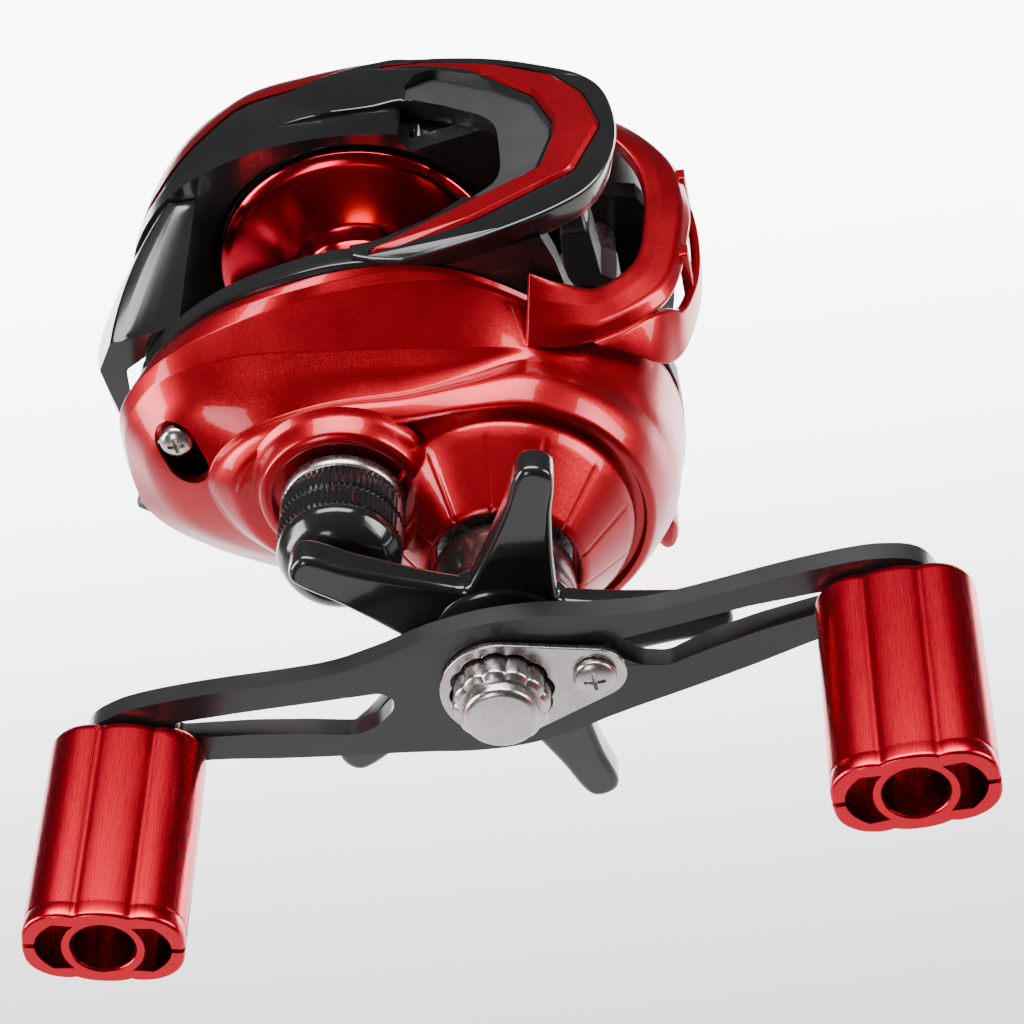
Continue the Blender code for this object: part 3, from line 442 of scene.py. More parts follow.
def glazed_ceramic():
    n = Nodes("ceramic")
    wide = n.span(n.noise(400.0), 0.0, 1.0)
    n.set(Base_Color=n.mix(wide, rgb(0.72, 0.72, 0.69), rgb(0.84, 0.84, 0.82)),
          Roughness=n.span(wide, 0.08, 0.16, 0.0, 1.0), Coat_Weight=0.5)
    return n.material


MATERIALS = {
    "candy_red": candy_paint(),
    "anodised_red": anodised_red("anodised_red", 0.26, 0.30, 0.015),
    "gloss_black": black_plastic("gloss_black", 0.008, 0.13, 0.22, 1600.0, 0.03, 0.5),
    "satin_black": black_plastic("satin_black", 0.012, 0.27, 0.36, 3200.0, 0.10, 0.15),
    "steel": metal("steel", (0.52, 0.47, 0.46), (0.68, 0.63, 0.61), 0.20, 0.34, 900.0),
    "brass": metal("brass", (0.62, 0.43, 0.17), (0.78, 0.58, 0.28), 0.22, 0.34, 1200.0),
    "aluminium": metal("aluminium", (0.66, 0.66, 0.68), (0.78, 0.78, 0.80), 0.25, 0.38, 1200.0),
    "polymer": black_plastic("polymer", 0.03, 0.42, 0.55, 2600.0, 0.15, 0.0),
    "carbon": woven_carbon(),
    "ceramic": glazed_ceramic(),
}
POLISHED_RED = anodised_red("polished_red", 0.15, 0.19, 0.01)
MATTE_PANEL = black_plastic("matte_panel", 0.016, 0.46, 0.56, 4200.0, 0.22, 0.0)
SLOT_OF = {part["node"]: part["material_slot"] for part in frame["record"]["subparts"]}
BODY_OF = {}
for body_name, members in frame["record"]["behaviour"]["bodies"].items():
    for member in members:
        BODY_OF[member] = body_name


def install(piece, *nodes):
    """Dress a piece like the CAD nodes it stands for, put it on their body and hide them."""
    slot_name = SLOT_OF[nodes[0]]
    piece.data.materials.clear()
    piece.data.materials.append(MATERIALS[slot_name])
    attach(piece, BODY_OF[nodes[0]])
    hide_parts(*nodes)
    return piece


def repaint(piece, material, chosen):
    """Give a second material to the faces that chosen(centre in mm, normal) picks."""
    piece.data.materials.append(material)
    for face in piece.data.polygons:
        if chosen(face.center / MM, face.normal):
            face.material_index = 1
    return piece


# ------------------------------------------------------------ crank-side cover

# Each loop is (X or one X for each point, [(Y, Z)]), from the tail over the top and round the nose
COVER_RIM = (COVER_START, [
    (-27.6, 22.6), (-23.9, 30.4), (-18.4, 35.6), (-10.6, 39.4), (-0.2, 41.5), (9.0, 41.6), (16.6, 39.4),
    (23.4, 34.8), (26.6, 31.7), (31.4, 29.7), (36.5, 25.0), (39.0, 18.0), (38.9, 9.5), (36.5, 2.3),
    (31.3, -2.7), (24.5, -5.3), (17.6, -6.0), (10.0, -4.8), (0.7, -2.3), (-10.2, 1.4), (-20.8, 7.3),
    (-27.8, 14.7)])
COVER_LEDGE = ([16.6, 16.8, 16.8, 16.4, 16.0, 15.5, 15.5, 15.5] + [15.6] * 14, [
    (-28.1, 22.8), (-25.3, 30.3), (-19.4, 36.0), (-10.8, 39.5), (-0.4, 41.0), (9.0, 41.0), (16.6, 39.0),
    (23.3, 34.5), (26.5, 31.5), (31.3, 29.6), (36.4, 24.9), (38.9, 18.0), (38.8, 9.6), (36.4, 2.4),
    (31.2, -2.6), (24.5, -5.2), (17.6, -5.9), (10.1, -4.7), (0.6, -2.4), (-10.6, 0.9), (-21.4, 6.8),
    (-28.1, 14.5)])
COVER_CREASE_1 = ([18.2, 19.6, 20.0, 18.6, 16.8, 15.9, 15.9, 16.0] + [16.6] * 14, [
    (-28.3, 23.1), (-26.3, 30.2), (-20.2, 36.1), (-11.0, 38.9), (-0.8, 39.9), (9.0, 39.9), (16.5, 38.3),
    (23.2, 34.1), (26.4, 31.2), (31.2, 29.4), (36.3, 24.8), (38.8, 18.0), (38.7, 9.7), (36.3, 2.6),
    (31.2, -2.4), (24.5, -5.0), (17.6, -5.7), (10.1, -4.5), (0.6, -2.3), (-10.8, 0.8), (-21.6, 6.7),
    (-28.1, 14.5)])
COVER_CREASE_2 = ([20.5, 21.4] + [22.0] * 20, [
    (-27.5, 23.1), (-25.3, 29.8), (-19.7, 34.9), (-10.3, 36.6), (-0.5, 35.7), (9.2, 34.5), (16.0, 33.5),
    (22.6, 32.4), (26.3, 30.5), (30.9, 28.3), (35.7, 24.2), (38.2, 17.6), (38.3, 10.4), (36.1, 3.4),
    (31.1, -1.7), (24.5, -4.4), (17.6, -5.1), (10.2, -4.0), (1.2, -1.5), (-9.6, 2.2), (-19.9, 8.1),
    (-26.4, 15.0)])
COVER_SCOOP = ([26.0, 26.0, 25.6, 24.6, 24.0, 23.6, 23.2, 22.8, 23.2] + [23.6] * 9
               + [24.2, 25.0, 26.0, 26.3], [
    (-23.6, 23.0), (-21.7, 28.6), (-16.9, 32.4), (-9.5, 33.3), (-0.6, 33.0), (9.0, 32.1), (15.9, 32.0),
    (22.5, 32.0), (26.5, 30.3), (31.1, 27.9), (35.6, 23.8), (37.9, 17.5), (38.0, 10.5), (35.9, 3.8),
    (31.0, -1.2), (24.5, -4.0), (17.6, -4.7), (10.3, -3.5), (2.4, 0.0), (-6.8, 5.0), (-15.2, 10.4),
    (-21.2, 16.0)])
COVER_STEP = ([28.2, 28.0, 27.6, 27.0, 26.4, 25.6, 24.6, 23.6, 24.2] + [25.0] * 9
              + [25.5, 26.4, 27.4, 28.0], [
    (-16.8, 22.2), (-15.6, 25.9), (-12.6, 28.7), (-8.0, 30.4), (-0.8, 31.3), (8.8, 30.9), (15.8, 31.3),
    (22.5, 31.8), (26.8, 30.3), (31.4, 27.6), (35.3, 23.4), (37.5, 17.3), (37.6, 10.7), (35.5, 4.1),
    (30.9, -0.9), (24.5, -3.6), (17.6, -4.3), (10.4, -3.1), (3.0, 0.2), (-5.5, 5.6), (-11.2, 10.4),
    (-15.2, 15.8)])
COVER_SHOULDER = ([29.6, 29.6, 29.5, 29.3, 29.0, 28.6, 28.0, 27.6, 27.5] + [27.6] * 8
                  + [28.4, 28.6, 29.0, 29.3, 29.6], [
    (-15.6, 22.3), (-14.4, 26.3), (-11.5, 29.6), (-6.6, 31.9), (1.0, 33.2), (8.8, 32.7), (15.6, 32.9),
    (22.7, 32.7), (28.0, 30.5), (32.1, 27.2), (35.4, 22.2), (36.9, 16.3), (36.6, 10.3), (34.2, 4.1),
    (29.6, -0.9), (24.0, -3.4), (17.6, -4.2), (11.0, -3.0), (4.4, 0.4), (-4.4, 6.0), (-9.9, 10.9),
    (-14.0, 16.3)])
COVER_FACE = (FACE_X, [
    (-13.4, 22.4), (-12.4, 25.7), (-9.9, 28.5), (-5.5, 30.5), (1.2, 31.7), (8.6, 31.2), (15.2, 31.6),
    (22.4, 31.2), (27.2, 29.0), (30.8, 26.1), (33.8, 21.5), (35.2, 16.2), (34.9, 10.6), (32.6, 4.9),
    (28.5, 0.5), (23.7, -2.2), (17.6, -3.2), (11.6, -2.0), (5.6, 1.6), (-3.4, 7.0), (-8.6, 11.7),
    (-12.2, 16.8)])
COVER_MIDDLE = (8.0, 17.0)


def fine_loop(loop, steps=10):
    """A cover loop as an array of (X, Y, Z) on a smooth closed curve."""
    stations, outline = loop
    if not isinstance(stations, list):
        stations = [stations] * len(outline)
    return np.array(curve_through([(x, y, z) for x, (y, z) in zip(stations, outline)], steps))


def shrunk(loop, amount, back):
    """A loop moved inwards and back by a wall's thickness."""
    middle = np.array(COVER_MIDDLE)
    flat = loop[:, 1:] - middle
    reach = np.linalg.norm(flat, axis=1, keepdims=True)
    moved = np.hstack([loop[:, :1] - back, middle + flat * (1 - amount / reach)])
    moved[:, 0] = np.maximum(moved[:, 0], COVER_START)
    return moved


def rows_between(loops, corners, rows=5, fillet=0.35):
    """Rows of points from loop to loop: straight between corners, with a fillet at each corner."""
    made = [loops[0]]
    for k in range(1, len(loops) - 1):
        back = loops[k - 1] - loops[k]
        on = loops[k + 1] - loops[k]
        back_length = np.linalg.norm(back, axis=1, keepdims=True) + 1e-6
        on_length = np.linalg.norm(on, axis=1, keepdims=True) + 1e-6
        reach = np.minimum(corners[k] * fillet, np.minimum(back_length, on_length) * 0.48)
        start = loops[k] + back / back_length * reach
        end = loops[k] + on / on_length * reach
        for t in np.linspace(0.0, 1.0, rows):
            made.append(start * (1 - t) ** 2 + 2 * loops[k] * t * (1 - t) + end * t * t)
    made.append(loops[-1])
    return made


def build_crank_cover():
    """Sculpted shell with its screw recess, ribbed crank cone, tension cap's boss and front lug."""
    loops = [COVER_RIM, COVER_LEDGE, COVER_CREASE_1, COVER_CREASE_2, COVER_SCOOP, COVER_STEP,
             COVER_SHOULDER, COVER_FACE]
    outer = [fine_loop(loop) for loop in loops]
    face = shrunk(outer[-1], 1.5, 0.0)
    corners = [0, 0.3, 0.5, 0.5, 6.0, 0.6, 3.6, 3.0, 0]
    rows = rows_between(outer + [face], corners)
    walls = ((0, WALL), (2, WALL), (3, WALL), (4, THIN_WALL), (5, WALL), (7, WALL))
    inner = [shrunk(outer[place], wall, wall) for place, wall in walls]
    inner[0][:, 0] = COVER_START
    shell = skin("cover_shell", [[tuple(p) for p in row] for row in inner[::-1] + rows], sharp=40.0)
    recess = [(COVER_SCREW[0] - 0.1, COVER_SCREW[1] + 0.2), (COVER_SCREW[0] + 0.9, COVER_SCREW[1] - 2.6)]
    slot = []
    for place, base in zip(recess, (90.0, 270.0)):
        lean = math.atan2(recess[0][1] - recess[1][1], recess[0][0] - recess[1][0]) - math.pi / 2
        for i in range(17):
            angle = math.radians(base - 90 + 180 * i / 16) + lean
            slot.append((place[0] + 2.55 * math.cos(angle), place[1] + 2.55 * math.sin(angle)))
    pocket = [(1.5, 29.4), (2.3, 30.3), (5.2, 30.9), (10.4, 30.8), (14.6, 31.2), (14.6, 29.0), (9.5, 27.4),
              (6.4, 25.4), (4.6, 27.4), (2.4, 28.5)]
    cut(shell,
        prism("bore", circle(8.1, CRANK, 64), 25.0, 36.0),
        prism("bore", circle(4.1, SPOOL, 64), 25.0, 36.0),
        prism("recess", slot, 24.7, 34.0),
        prism("hole", circle(1.3, COVER_SCREW, 32), 20.0, 30.0),
        prism("pocket", curve_through(pocket, 5), FACE_X - 1.0, 34.0),
        lathe("channel", [(FACE_X - 0.9, CONE_BASE - 0.6), (FACE_X - 0.9, CONE_BASE + 0.9),
                          (FACE_X + 0.6, CONE_BASE + 1.5), (FACE_X + 0.6, CONE_BASE - 0.6)], CRANK, 160))
    shade(shell, 40.0)

    def ribbed(x, radius, angle):
        turn = (angle * CONE_RIBS / (2 * math.pi) + 0.28) % 1.0 - 0.5
        on_slope = min(1.0, max(0.0, (CONE_BASE - 0.5 - radius) / 0.8)) * (x > FACE_X)
        return radius - 0.20 * on_slope * math.exp(-(turn / 0.03) ** 2)

    slope = rounded_profile([(FACE_X - 1.1, CONE_BASE), (32.0, CONE_BASE), (33.3, CONE_BASE - 0.7),
                             (40.2, CONE_TOP), (40.6, CONE_TOP - 0.5), (40.6, 8.9), (38.2, 8.9)], 0.5, 4)
    cone = lathe("cone", slope + [(38.2, 8.1), (FACE_X - 1.1, 8.1)], CRANK, 26 * CONE_RIBS, True, ribbed)
    seat = rounded_profile([(33.6, 0.1), (33.6, 8.4), (34.3, 8.6), (44.0, 8.8), (44.0, 0.1)], 0.2)
    cut(cone, lathe("seat", seat, SPOOL, 128, False))
    shade(cone, 40.0)
    collar = rounded_profile([(FACE_X - 0.4, 11.2), (31.8, 10.5), (33.2, 10.2), (34.2, 9.8), (34.5, 9.2),
                              (34.5, 8.4), (33.0, 8.2)], 0.5, 4)
    boss = lathe("boss", collar + [(33.0, 4.1), (FACE_X - 0.4, 4.1)], SPOOL, 160)
    cut(boss, lathe("clear", [(28.0, 0.05), (28.0, 8.15), (44.0, 8.15), (44.0, 0.05)], CRANK, 96))
    shade(boss, 40.0)
    lug = skin("lug", [[(x, 35.0 + r * 1.6 * math.cos(a), 0.4 + r * 3.2 * math.sin(a))
                        for a in np.linspace(0, 2 * math.pi, 24, endpoint=False)]
                       for x, r in ((COVER_START, 0.9), (15.2, 1.0), (19.5, 1.0), (20.3, 0.85), (20.8, 0.5))])
    return install(gather(shell, cone, boss, lug), "crank_cover")


# -------------------------------------------------------------- palm-side cover

PALM_RIM = [(-28.8, 23.0), (-27.5, 30.3), (-21.3, 37.6), (-11.0, 42.0), (0.0, 43.0), (7.6, 42.0),
            (9.2, 39.2), (17.0, 39.4), (22.6, 37.0), (24.2, 30.8), (31.0, 28.8), (35.4, 24.0),
            (36.6, 17.0), (35.0, 10.0), (31.0, 5.0), (24.0, 2.0), (14.0, 0.8), (3.0, 0.8), (-8.0, 2.2),
            (-19.0, 8.0), (-26.4, 15.6)]
PALM_MIDDLE = (2.0, 22.0)
PALM_END = -32.4


def palm_edge(y):
    """X where the frame's palm band meets the palm cover."""
    if y < -13.0:
        return -24.0 + 0.6 * min(11.0, -13.0 - y)
    return -24.0 - 0.25 * min(16.0, max(0.0, y + 6.0))


def build_palm_cover():
    rim = curve_through(PALM_RIM, 8)
    edges = [palm_edge(y) - 0.3 for y, z in rim]
    dome = [(0.0, 0.0)] + curve_through([(0.05, 0.25), (0.3, 0.5), (0.6, 1.6), (0.85, 4.2), (0.97, 8.0),
                                         (1.0, 11.5)], 5, False)
    rings = []
    for wall, stations in ((1.5, dome[::-3]), (0.0, dome)):
        end = PALM_END + wall
        for share, amount in stations:
            outline = inset(rim, amount + wall, PALM_MIDDLE)
            rings.append([(edge + (end - edge) * share, y, z) for edge, (y, z) in zip(edges, outline)])
    shell = skin("palm_shell", rings, sharp=40.0)
    cut(shell, lathe("recess", [(-34.0, 0.1), (-34.0, 12.2), (-31.7, 12.0), (-31.7, 0.1)], SPOOL, 96),
        prism("bore", circle(3.2, SPOOL, 48), -36.0, -20.0))
    return install(shell, "palm_cover")


def build_brake_dial():
    """Palm-side dial with scalloped edge and a row of raised dots."""
    def scallop(x, radius, angle):
        depth = 0.35 if radius > 10.3 and x > -33.7 else 0.0
        return radius - depth * (0.5 + 0.5 * math.cos(28 * angle))

    profile = rounded_profile([(-31.95, 3.0), (-31.95, 11.2), (-33.2, 11.2), (-33.8, 10.2), (-33.5, 8.6),
                               (-33.3, 7.8), (-33.8, 7.2), (-33.8, 0.2)], 0.3)
    dial = lathe("dial", profile, SPOOL, 224, False, scallop)
    for dot in range(8):
        angle = math.radians(20 + 320 * dot / 7)
        place = (SPOOL[0] + 8.9 * math.cos(angle), SPOOL[1] + 8.9 * math.sin(angle))
        gather(dial, lathe("dot", [(-33.3, 0.02), (-33.3, 0.42), (-33.7, 0.36), (-33.8, 0.2), (-33.8, 0.02)],
                           place, 16))
    gather(dial, lathe("stem", [(-32.0, 1.6), (-32.0, 3.05), (-21.4, 3.05), (-21.4, 1.6)], SPOOL, 48))
    return install(dial, "brake_dial")


# ----------------------------------------------------------------------- frame

# Side outlines as (Y, Z): each plate's top from the tail, the front both share, and each plate's underside
PLATE_TOP = [(-29.0, 23.0), (-27.8, 30.5), (-21.5, 37.9), (-11.0, 42.3), (0.0, 43.3), (8.4, 42.3)]
CRANK_TOP = [(-27.8, 22.8), (-24.2, 30.6), (-18.6, 35.9), (-10.6, 40.0), (0.0, 42.4), (8.4, 42.4)]
PLATE_FRONT = [(9.2, 39.5), (18.0, 41.1), (26.5, 42.6), (27.6, 39.0), (28.4, 34.0), (30.2, 29.6),
               (35.8, 28.2), (38.0, 24.5), (39.2, 18.5)]
CRANK_LOW = [(38.9, 9.5), (36.5, 2.3), (31.3, -2.7), (24.5, -5.3), (17.6, -6.0), (10.0, -4.8),
             (0.8, -2.0), (-9.9, 1.6), (-20.5, 7.5), (-27.6, 14.8)]
PALM_LOW = [(38.0, 10.0), (34.5, 4.0), (28.0, 1.2), (18.0, 0.8), (4.0, 0.8), (-8.0, 2.2),
            (-19.0, 8.0), (-26.5, 15.6)]


def build_frame():
    """Cast frame with a chamfered rail over the spool on the crank side and a creased band on the palm side.
    """
    def plate(name, high, low, x0, x1):
        top = curve_through(high, 6, False)
        bottom = curve_through([PLATE_FRONT[-1]] + low + [high[0]], 5, False)[1:-1]
        return prism(name, top + PLATE_FRONT + bottom, x0, x1)

    body = plate("frame_body", CRANK_TOP, CRANK_LOW, 11.6, 14.6)
    palm = plate("palm_plate", PLATE_TOP, PALM_LOW, -14.6, -11.6)
    belly = [(-20.5, 7.6), (-12.0, 4.6), (-6.0, 3.9), (6.0, 3.9), (13.0, 4.6), (18.0, 7.0), (26.0, 7.4),
             (26.0, 5.4), (18.0, 5.0), (15.0, 2.5), (-10.0, 2.5), (-21.5, 6.0)]
    nose = [(26.0, 5.4), (33.0, 8.0), (36.9, 12.5), (37.6, 18.5), (36.0, 18.5), (35.2, 13.4), (32.0, 9.8),
            (26.0, 7.4)]
    tail = [(-27.0, 15.4), (-19.0, 8.6), (-17.8, 9.8), (-25.9, 17.0)]
    rim = curve_through(PALM_RIM, 4)
    edge = [palm_edge(y) for y, z in rim]
    start = [-13.6] * len(rim)
    crease = [max(e + 3.0, -21.0) for e in edge]
    rings = []
    for stations, amount in ((start, 1.1), (crease, 0.1), (edge, 0.2), (edge, 1.8), (start, 2.6)):
        rings.append([(x, y, z) for x, (y, z) in zip(stations, inset(rim, amount, PALM_MIDDLE))])
    band = skin("band", rings, True)
    bars = [prism("bar", outline, -12.6, 12.6) for outline in (belly, nose, tail)]
    fuse(body, palm, band, *bars)
    crank_ring = [(11.0, 18.5), (11.3, 18.6), (13.1, 18.5), (13.1, 0.1), (11.0, 0.1)]
    palm_ring = [(-15.6, 18.5), (-12.3, 18.5), (-11.5, 19.1), (-10.4, 19.4), (-10.4, 0.1), (-15.6, 0.1)]
    cut(body,
        lathe("ring", crank_ring, SPOOL, 160),
        prism("hole", circle(5.5, SPOOL, 64), 12.0, 15.6),
        prism("hole", circle(4.0, CRANK, 48), 10.1, 15.6),
        prism("hole", circle(3.2, axis_of("worm_shaft"), 48), 10.6, 15.6),
        lathe("ring", palm_ring, SPOOL, 160),
        prism("hole", circle(3.2, axis_of("worm_shaft"), 48), -13.8, -10.4),
        prism("hole", [(-26.2, 17.2), (-23.4, 16.4), (-20.6, 26.4), (-23.4, 27.4)], 10.0, 16.0))
    soften(body, 0.35, 2, 34.0)
    top = curve_through(CRANK_TOP[1:-1] + [(9.8, 42.1)], 8, False)
    rings = []
    for k, (y, z) in enumerate(top):
        share = k / (len(top) - 1)
        lean = 1.9 * math.sin(math.pi * share) ** 0.7
        out = np.array((y - 2.0, z - 22.0)) / math.hypot(y - 2.0, z - 22.0)
        section = [(14.75, 0.12), (12.6, 0.12), (12.45 - lean * 0.9, -0.05 - lean * 0.55),
                   (12.3 - lean * 0.9, -2.4), (14.75, -2.4)]
        section = rounded_loop(section, 0.18, 2)
        rings.append([(x, y + out[0] * n, z + out[1] * n) for x, n in section])
    rail = skin("rail", rings)
    install(gather(body, rail), "frame")
    return repaint(body, MATTE_PANEL, lambda c, n: c[1] > 24.0 and n[1] > 0.6)


# ------------------------------------------------------------------------ hood

# Plan outlines as (X, Y): the outer edges run from the crank side round the front, the inner ones back again
HOOD_OUTER = [(14.2, 4.0), (14.9, 6.4), (15.1, 9.6), (15.4, 15.0), (15.3, 22.0), (14.3, 28.5),
              (12.2, 33.0), (7.6, 35.5), (1.0, 36.3), (-6.9, 35.0), (-12.1, 32.3), (-16.1, 28.4),
              (-22.7, 20.1), (-28.3, 9.6), (-28.2, 4.5), (-26.2, -1.5), (-24.0, -9.0)]
HOOD_INNER = [(-17.4, -9.0), (-17.4, -1.5), (-17.9, 4.5), (-18.8, 9.6), (-14.1, 16.0), (-9.5, 20.4),
              (-3.4, 21.5), (2.9, 21.4), (5.6, 18.0), (9.8, 9.6), (12.0, 4.0)]
# (outer edge's height, inner edge's height, outer edge's inset, inner edge's inset)
HOOD_LEVELS = [(-4.4, -3.0, 2.4, 0.0), (-3.7, -1.6, 1.1, 0.0), (-3.4, -1.4, 0.9, 0.0), (-0.5, -0.5, 0.0, 0.0),
               (-0.15, -0.15, 0.12, -0.12), (0.0, 0.0, 0.45, -0.4)]
CHEVRON_OUTER = [(14.0, 6.2), (13.4, 10.2), (11.9, 18.7), (9.3, 26.9), (8.2, 30.9), (0.2, 34.4), (-7.7, 32.2),
                 (-13.9, 28.4), (-21.0, 20.1), (-26.6, 10.4), (-26.5, 5.6)]
CHEVRON_INNER = [(-25.1, 6.2), (-24.4, 11.6), (-17.4, 20.2), (-10.8, 25.9), (-3.6, 28.5), (-0.5, 28.4),
                 (5.3, 26.7), (7.4, 20.6), (10.2, 12.6), (12.9, 6.4)]
CHEVRON_MIDDLE = (-3.0, 16.0)


def hood_height(x, y):
    """Height of the hood's top; its legs follow the rail and the palm band."""
    if y > HOOD_ROOT:
        return HOOD_TOP + HOOD_RISE * (y - HOOD_ROOT)
    if x > 0:
        return HOOD_TOP + CRANK_LEG_RISE * (HOOD_ROOT - y)
    return HOOD_TOP + PALM_LEG_RISE * (HOOD_ROOT - y) - 0.022 * max(0.0, 1.0 - y) ** 2


def on_hood(name, *levels):
    """Solid through plan outlines, each at a height above the hood's top."""
    rings = []
    for outline, height in levels:
        rings.append([(x, y, hood_height(x, y) + height) for x, y in outline])
    return skin(name, rings)


def chevron(grow):
    """Closed chevron outline, grown on both sides."""
    points = []
    for edge, amount in ((CHEVRON_OUTER, grow), (CHEVRON_INNER, -grow)):
        for place, (x, y) in enumerate(edge):
            share = amount / math.dist((x, y), CHEVRON_MIDDLE)
            tip = 1.2 * grow if place in (0, len(edge) - 1) else 0.0
            points.append((x + (x - CHEVRON_MIDDLE[0]) * share, y + (y - CHEVRON_MIDDLE[1]) * share - tip))
    return rounded_loop(points, 0.9, 4)


def build_hood():
    """Black hood with a recess for the chevron and a sunken matte panel behind it."""
    outer = curve_through(HOOD_OUTER, 8, False)
    inner = curve_through(HOOD_INNER, 6, False)
    rings = []
    for outer_height, inner_height, outer_inset, inner_inset in HOOD_LEVELS:
        ring = [(x, y, outer_height) for x, y in inset(outer, outer_inset, CHEVRON_MIDDLE)]
        ring += [(x, y, inner_height) for x, y in inset(inner, inner_inset, CHEVRON_MIDDLE)]
        rings.append([(x, y, hood_height(x, y) + height) for x, y, height in ring])
    hood = skin("hood_top", rings, sharp=30.0)
    panel = panel_outline()
    low = [(x, y, hood_height(x, y) - min(1.0, max(0.0, 0.12 * (y - 8.0)))) for x, y in panel]
    high = [(x, y, hood_height(x, y) + 2.0) for x, y in panel]
    recess = on_hood("recess", (chevron(0.22), -1.0), (chevron(0.22), 1.0))
    cut(hood, recess, skin("panel_cut", [low, high]))
    soften(hood, 0.16, 2, 38.0)
    install(hood, "hood")
    return repaint(hood, MATTE_PANEL, lambda c, n: n[2] > 0.8 and c[2] < hood_height(c[0], c[1]) - 0.25)


def panel_outline():
    """Sunken area between the chevron and the spool window."""
    front = inset(CHEVRON_INNER[2:-3], 0.5, CHEVRON_MIDDLE)
    return front + [(7.2, 19.6), (6.6, 17.6), (3.5, 16.0), (-10.0, 15.0), (-14.0, 9.0), (-21.4, 9.0),
                    (-22.9, 12.4)]


def build_chevron():
    piece = on_hood("chevron", (chevron(0.0), -0.9), (chevron(0.0), 0.1), (chevron(-0.5), 0.48))
    return install(soften(piece, 0.09, 2, 20.0), "hood_inlay")


# ---------------------------------------------------------------------- bumper

# Edges as (X, Y, Z), from the crank side round the nose to the palm side
BUMPER_TOP = [(16.0, 24.6, 38.7), (15.4, 28.5, 36.0), (14.0, 32.1, 33.9), (8.0, 36.2, 32.8),
              (0.0, 37.4, 32.7), (-8.0, 37.4, 32.9), (-14.0, 35.6, 33.6), (-19.5, 31.2, 35.2),
              (-23.4, 25.8, 37.4), (-24.8, 22.8, 38.6)]
BUMPER_LOW = [(22.0, 23.3, 32.3), (21.4, 28.2, 31.4), (19.6, 32.4, 30.9), (12.6, 40.2, 30.4),
              (0.0, 42.9, 31.0), (-8.0, 42.7, 30.8), (-14.6, 41.2, 30.6), (-21.4, 36.4, 31.0),
              (-26.8, 27.8, 32.0), (-28.2, 23.9, 32.8)]
NOSE_TOP = [(20.9, 31.0, 30.9), (18.7, 34.6, 30.4), (15.9, 37.8, 29.9), (13.4, 39.9, 28.7),
            (11.0, 41.5, 26.9), (4.0, 43.2, 26.2), (-4.0, 43.4, 26.1), (-11.0, 42.6, 26.3),
            (-15.6, 41.2, 27.2), (-18.0, 39.4, 29.2), (-20.8, 36.4, 30.2), (-25.2, 31.4, 31.0)]
NOSE_LOW = [(20.9, 32.0, 30.2), (20.1, 35.3, 27.8), (19.0, 37.8, 25.2), (16.6, 39.6, 23.2),
            (12.6, 41.4, 22.7), (4.0, 43.0, 22.4), (-4.0, 43.2, 22.3), (-11.0, 42.4, 22.6),
            (-16.6, 40.9, 23.2), (-20.6, 38.6, 24.8), (-23.4, 36.2, 27.0), (-25.6, 32.2, 30.2)]
HOOP_SECTION = [(0.0, 0.0), (0.08, 0.2), (0.35, 0.5), (0.70, 0.6), (0.79, 0.45), (0.98, -0.4), (1.0, -0.7),
                (0.97, -1.7), (0.75, -1.5), (0.4, -1.3), (0.04, -1.4)]


def ribbon(name, first, second, section, edge=0.22):
    """Band between two edges; section is (share across, height outwards), lowered at both ends."""
    a_line = np.array(curve_through(first, 10, False))
    b_line = np.array(curve_through(second, 10, False))
    rings = []
    for place, (a, b) in enumerate(zip(a_line, b_line)):
        share = place / (len(a_line) - 1)
        swell = min(1.0, min(share, 1 - share) / 0.12)
        out = np.cross(b - a, (10.0 - a[1], a[0], 0.0))
        out /= np.linalg.norm(out) * math.copysign(1.0, out[2] + 0.02)
        path = [a + (b - a) * s + out * h * (max(swell, 0.4) if h < 0 else swell) for s, h in section]
        rings.append([tuple(p) for p in rounded_loop(path, edge, 2)])
    return skin(name, rings, sharp=36.0)


def build_bumper():
    piece = soften(ribbon("bumper_hoop", BUMPER_TOP, BUMPER_LOW, HOOP_SECTION), 0.12, 2, 50.0)
    rings = []
    top = curve_through(NOSE_TOP, 8, False)
    low = curve_through(NOSE_LOW, 8, False)
    for a, b in zip(top, low):
        lean = np.array((a[0] + 2.0, a[1] - 18.0))
        lean /= np.linalg.norm(lean)
        section = []
        for (x, y, z), deep, rise in ((a, 0.0, 0.0), (b, 0.0, 0.0), (b, 1.25, 0.1), (a, 1.25, -0.1)):
            section.append((x - lean[0] * deep, y - lean[1] * deep, z + rise))
        rings.append([tuple(p) for p in rounded_loop(section, 0.4, 3)])
    gather(piece, skin("nose_hoop", rings, sharp=45.0))
    for middle in (5.0, -11.0):
        post = [(middle - 1.1, 41.2), (middle + 1.1, 41.2), (middle + 1.1, 42.5), (middle - 1.1, 42.5)]
        gather(piece, soften(skin("post", [[(x, y, z) for x, y in post] for z in (24.6, 31.2)]), 0.25, 3))
    return install(piece, "front_bumper")


# ------------------------------------------------------------ spool and brake

def build_spool():
    """Spool: one half's section from hub to flange and back, mirrored."""
    side = [(1.6, 5.2), (8.6, 6.6), (10.6, 16.6), (11.3, 17.4), (12.3, 17.5), (12.55, 17.75),
            (12.35, 18.0), (11.4, 18.0), (10.6, 17.0), (10.2, 15.4), (8.6, 8.9), (7.4, 7.4), (5.0, 6.9)]
    whole = [(-1.6, 1.3), (1.6, 1.3)] + side + [(-x, r) for x, r in side[::-1]]
    piece = lathe("spool_body", rounded_loop(whole, 0.45, 4), SPOOL, 160)
    install(piece, "spool")
    piece.data.materials[0] = POLISHED_RED
    return piece


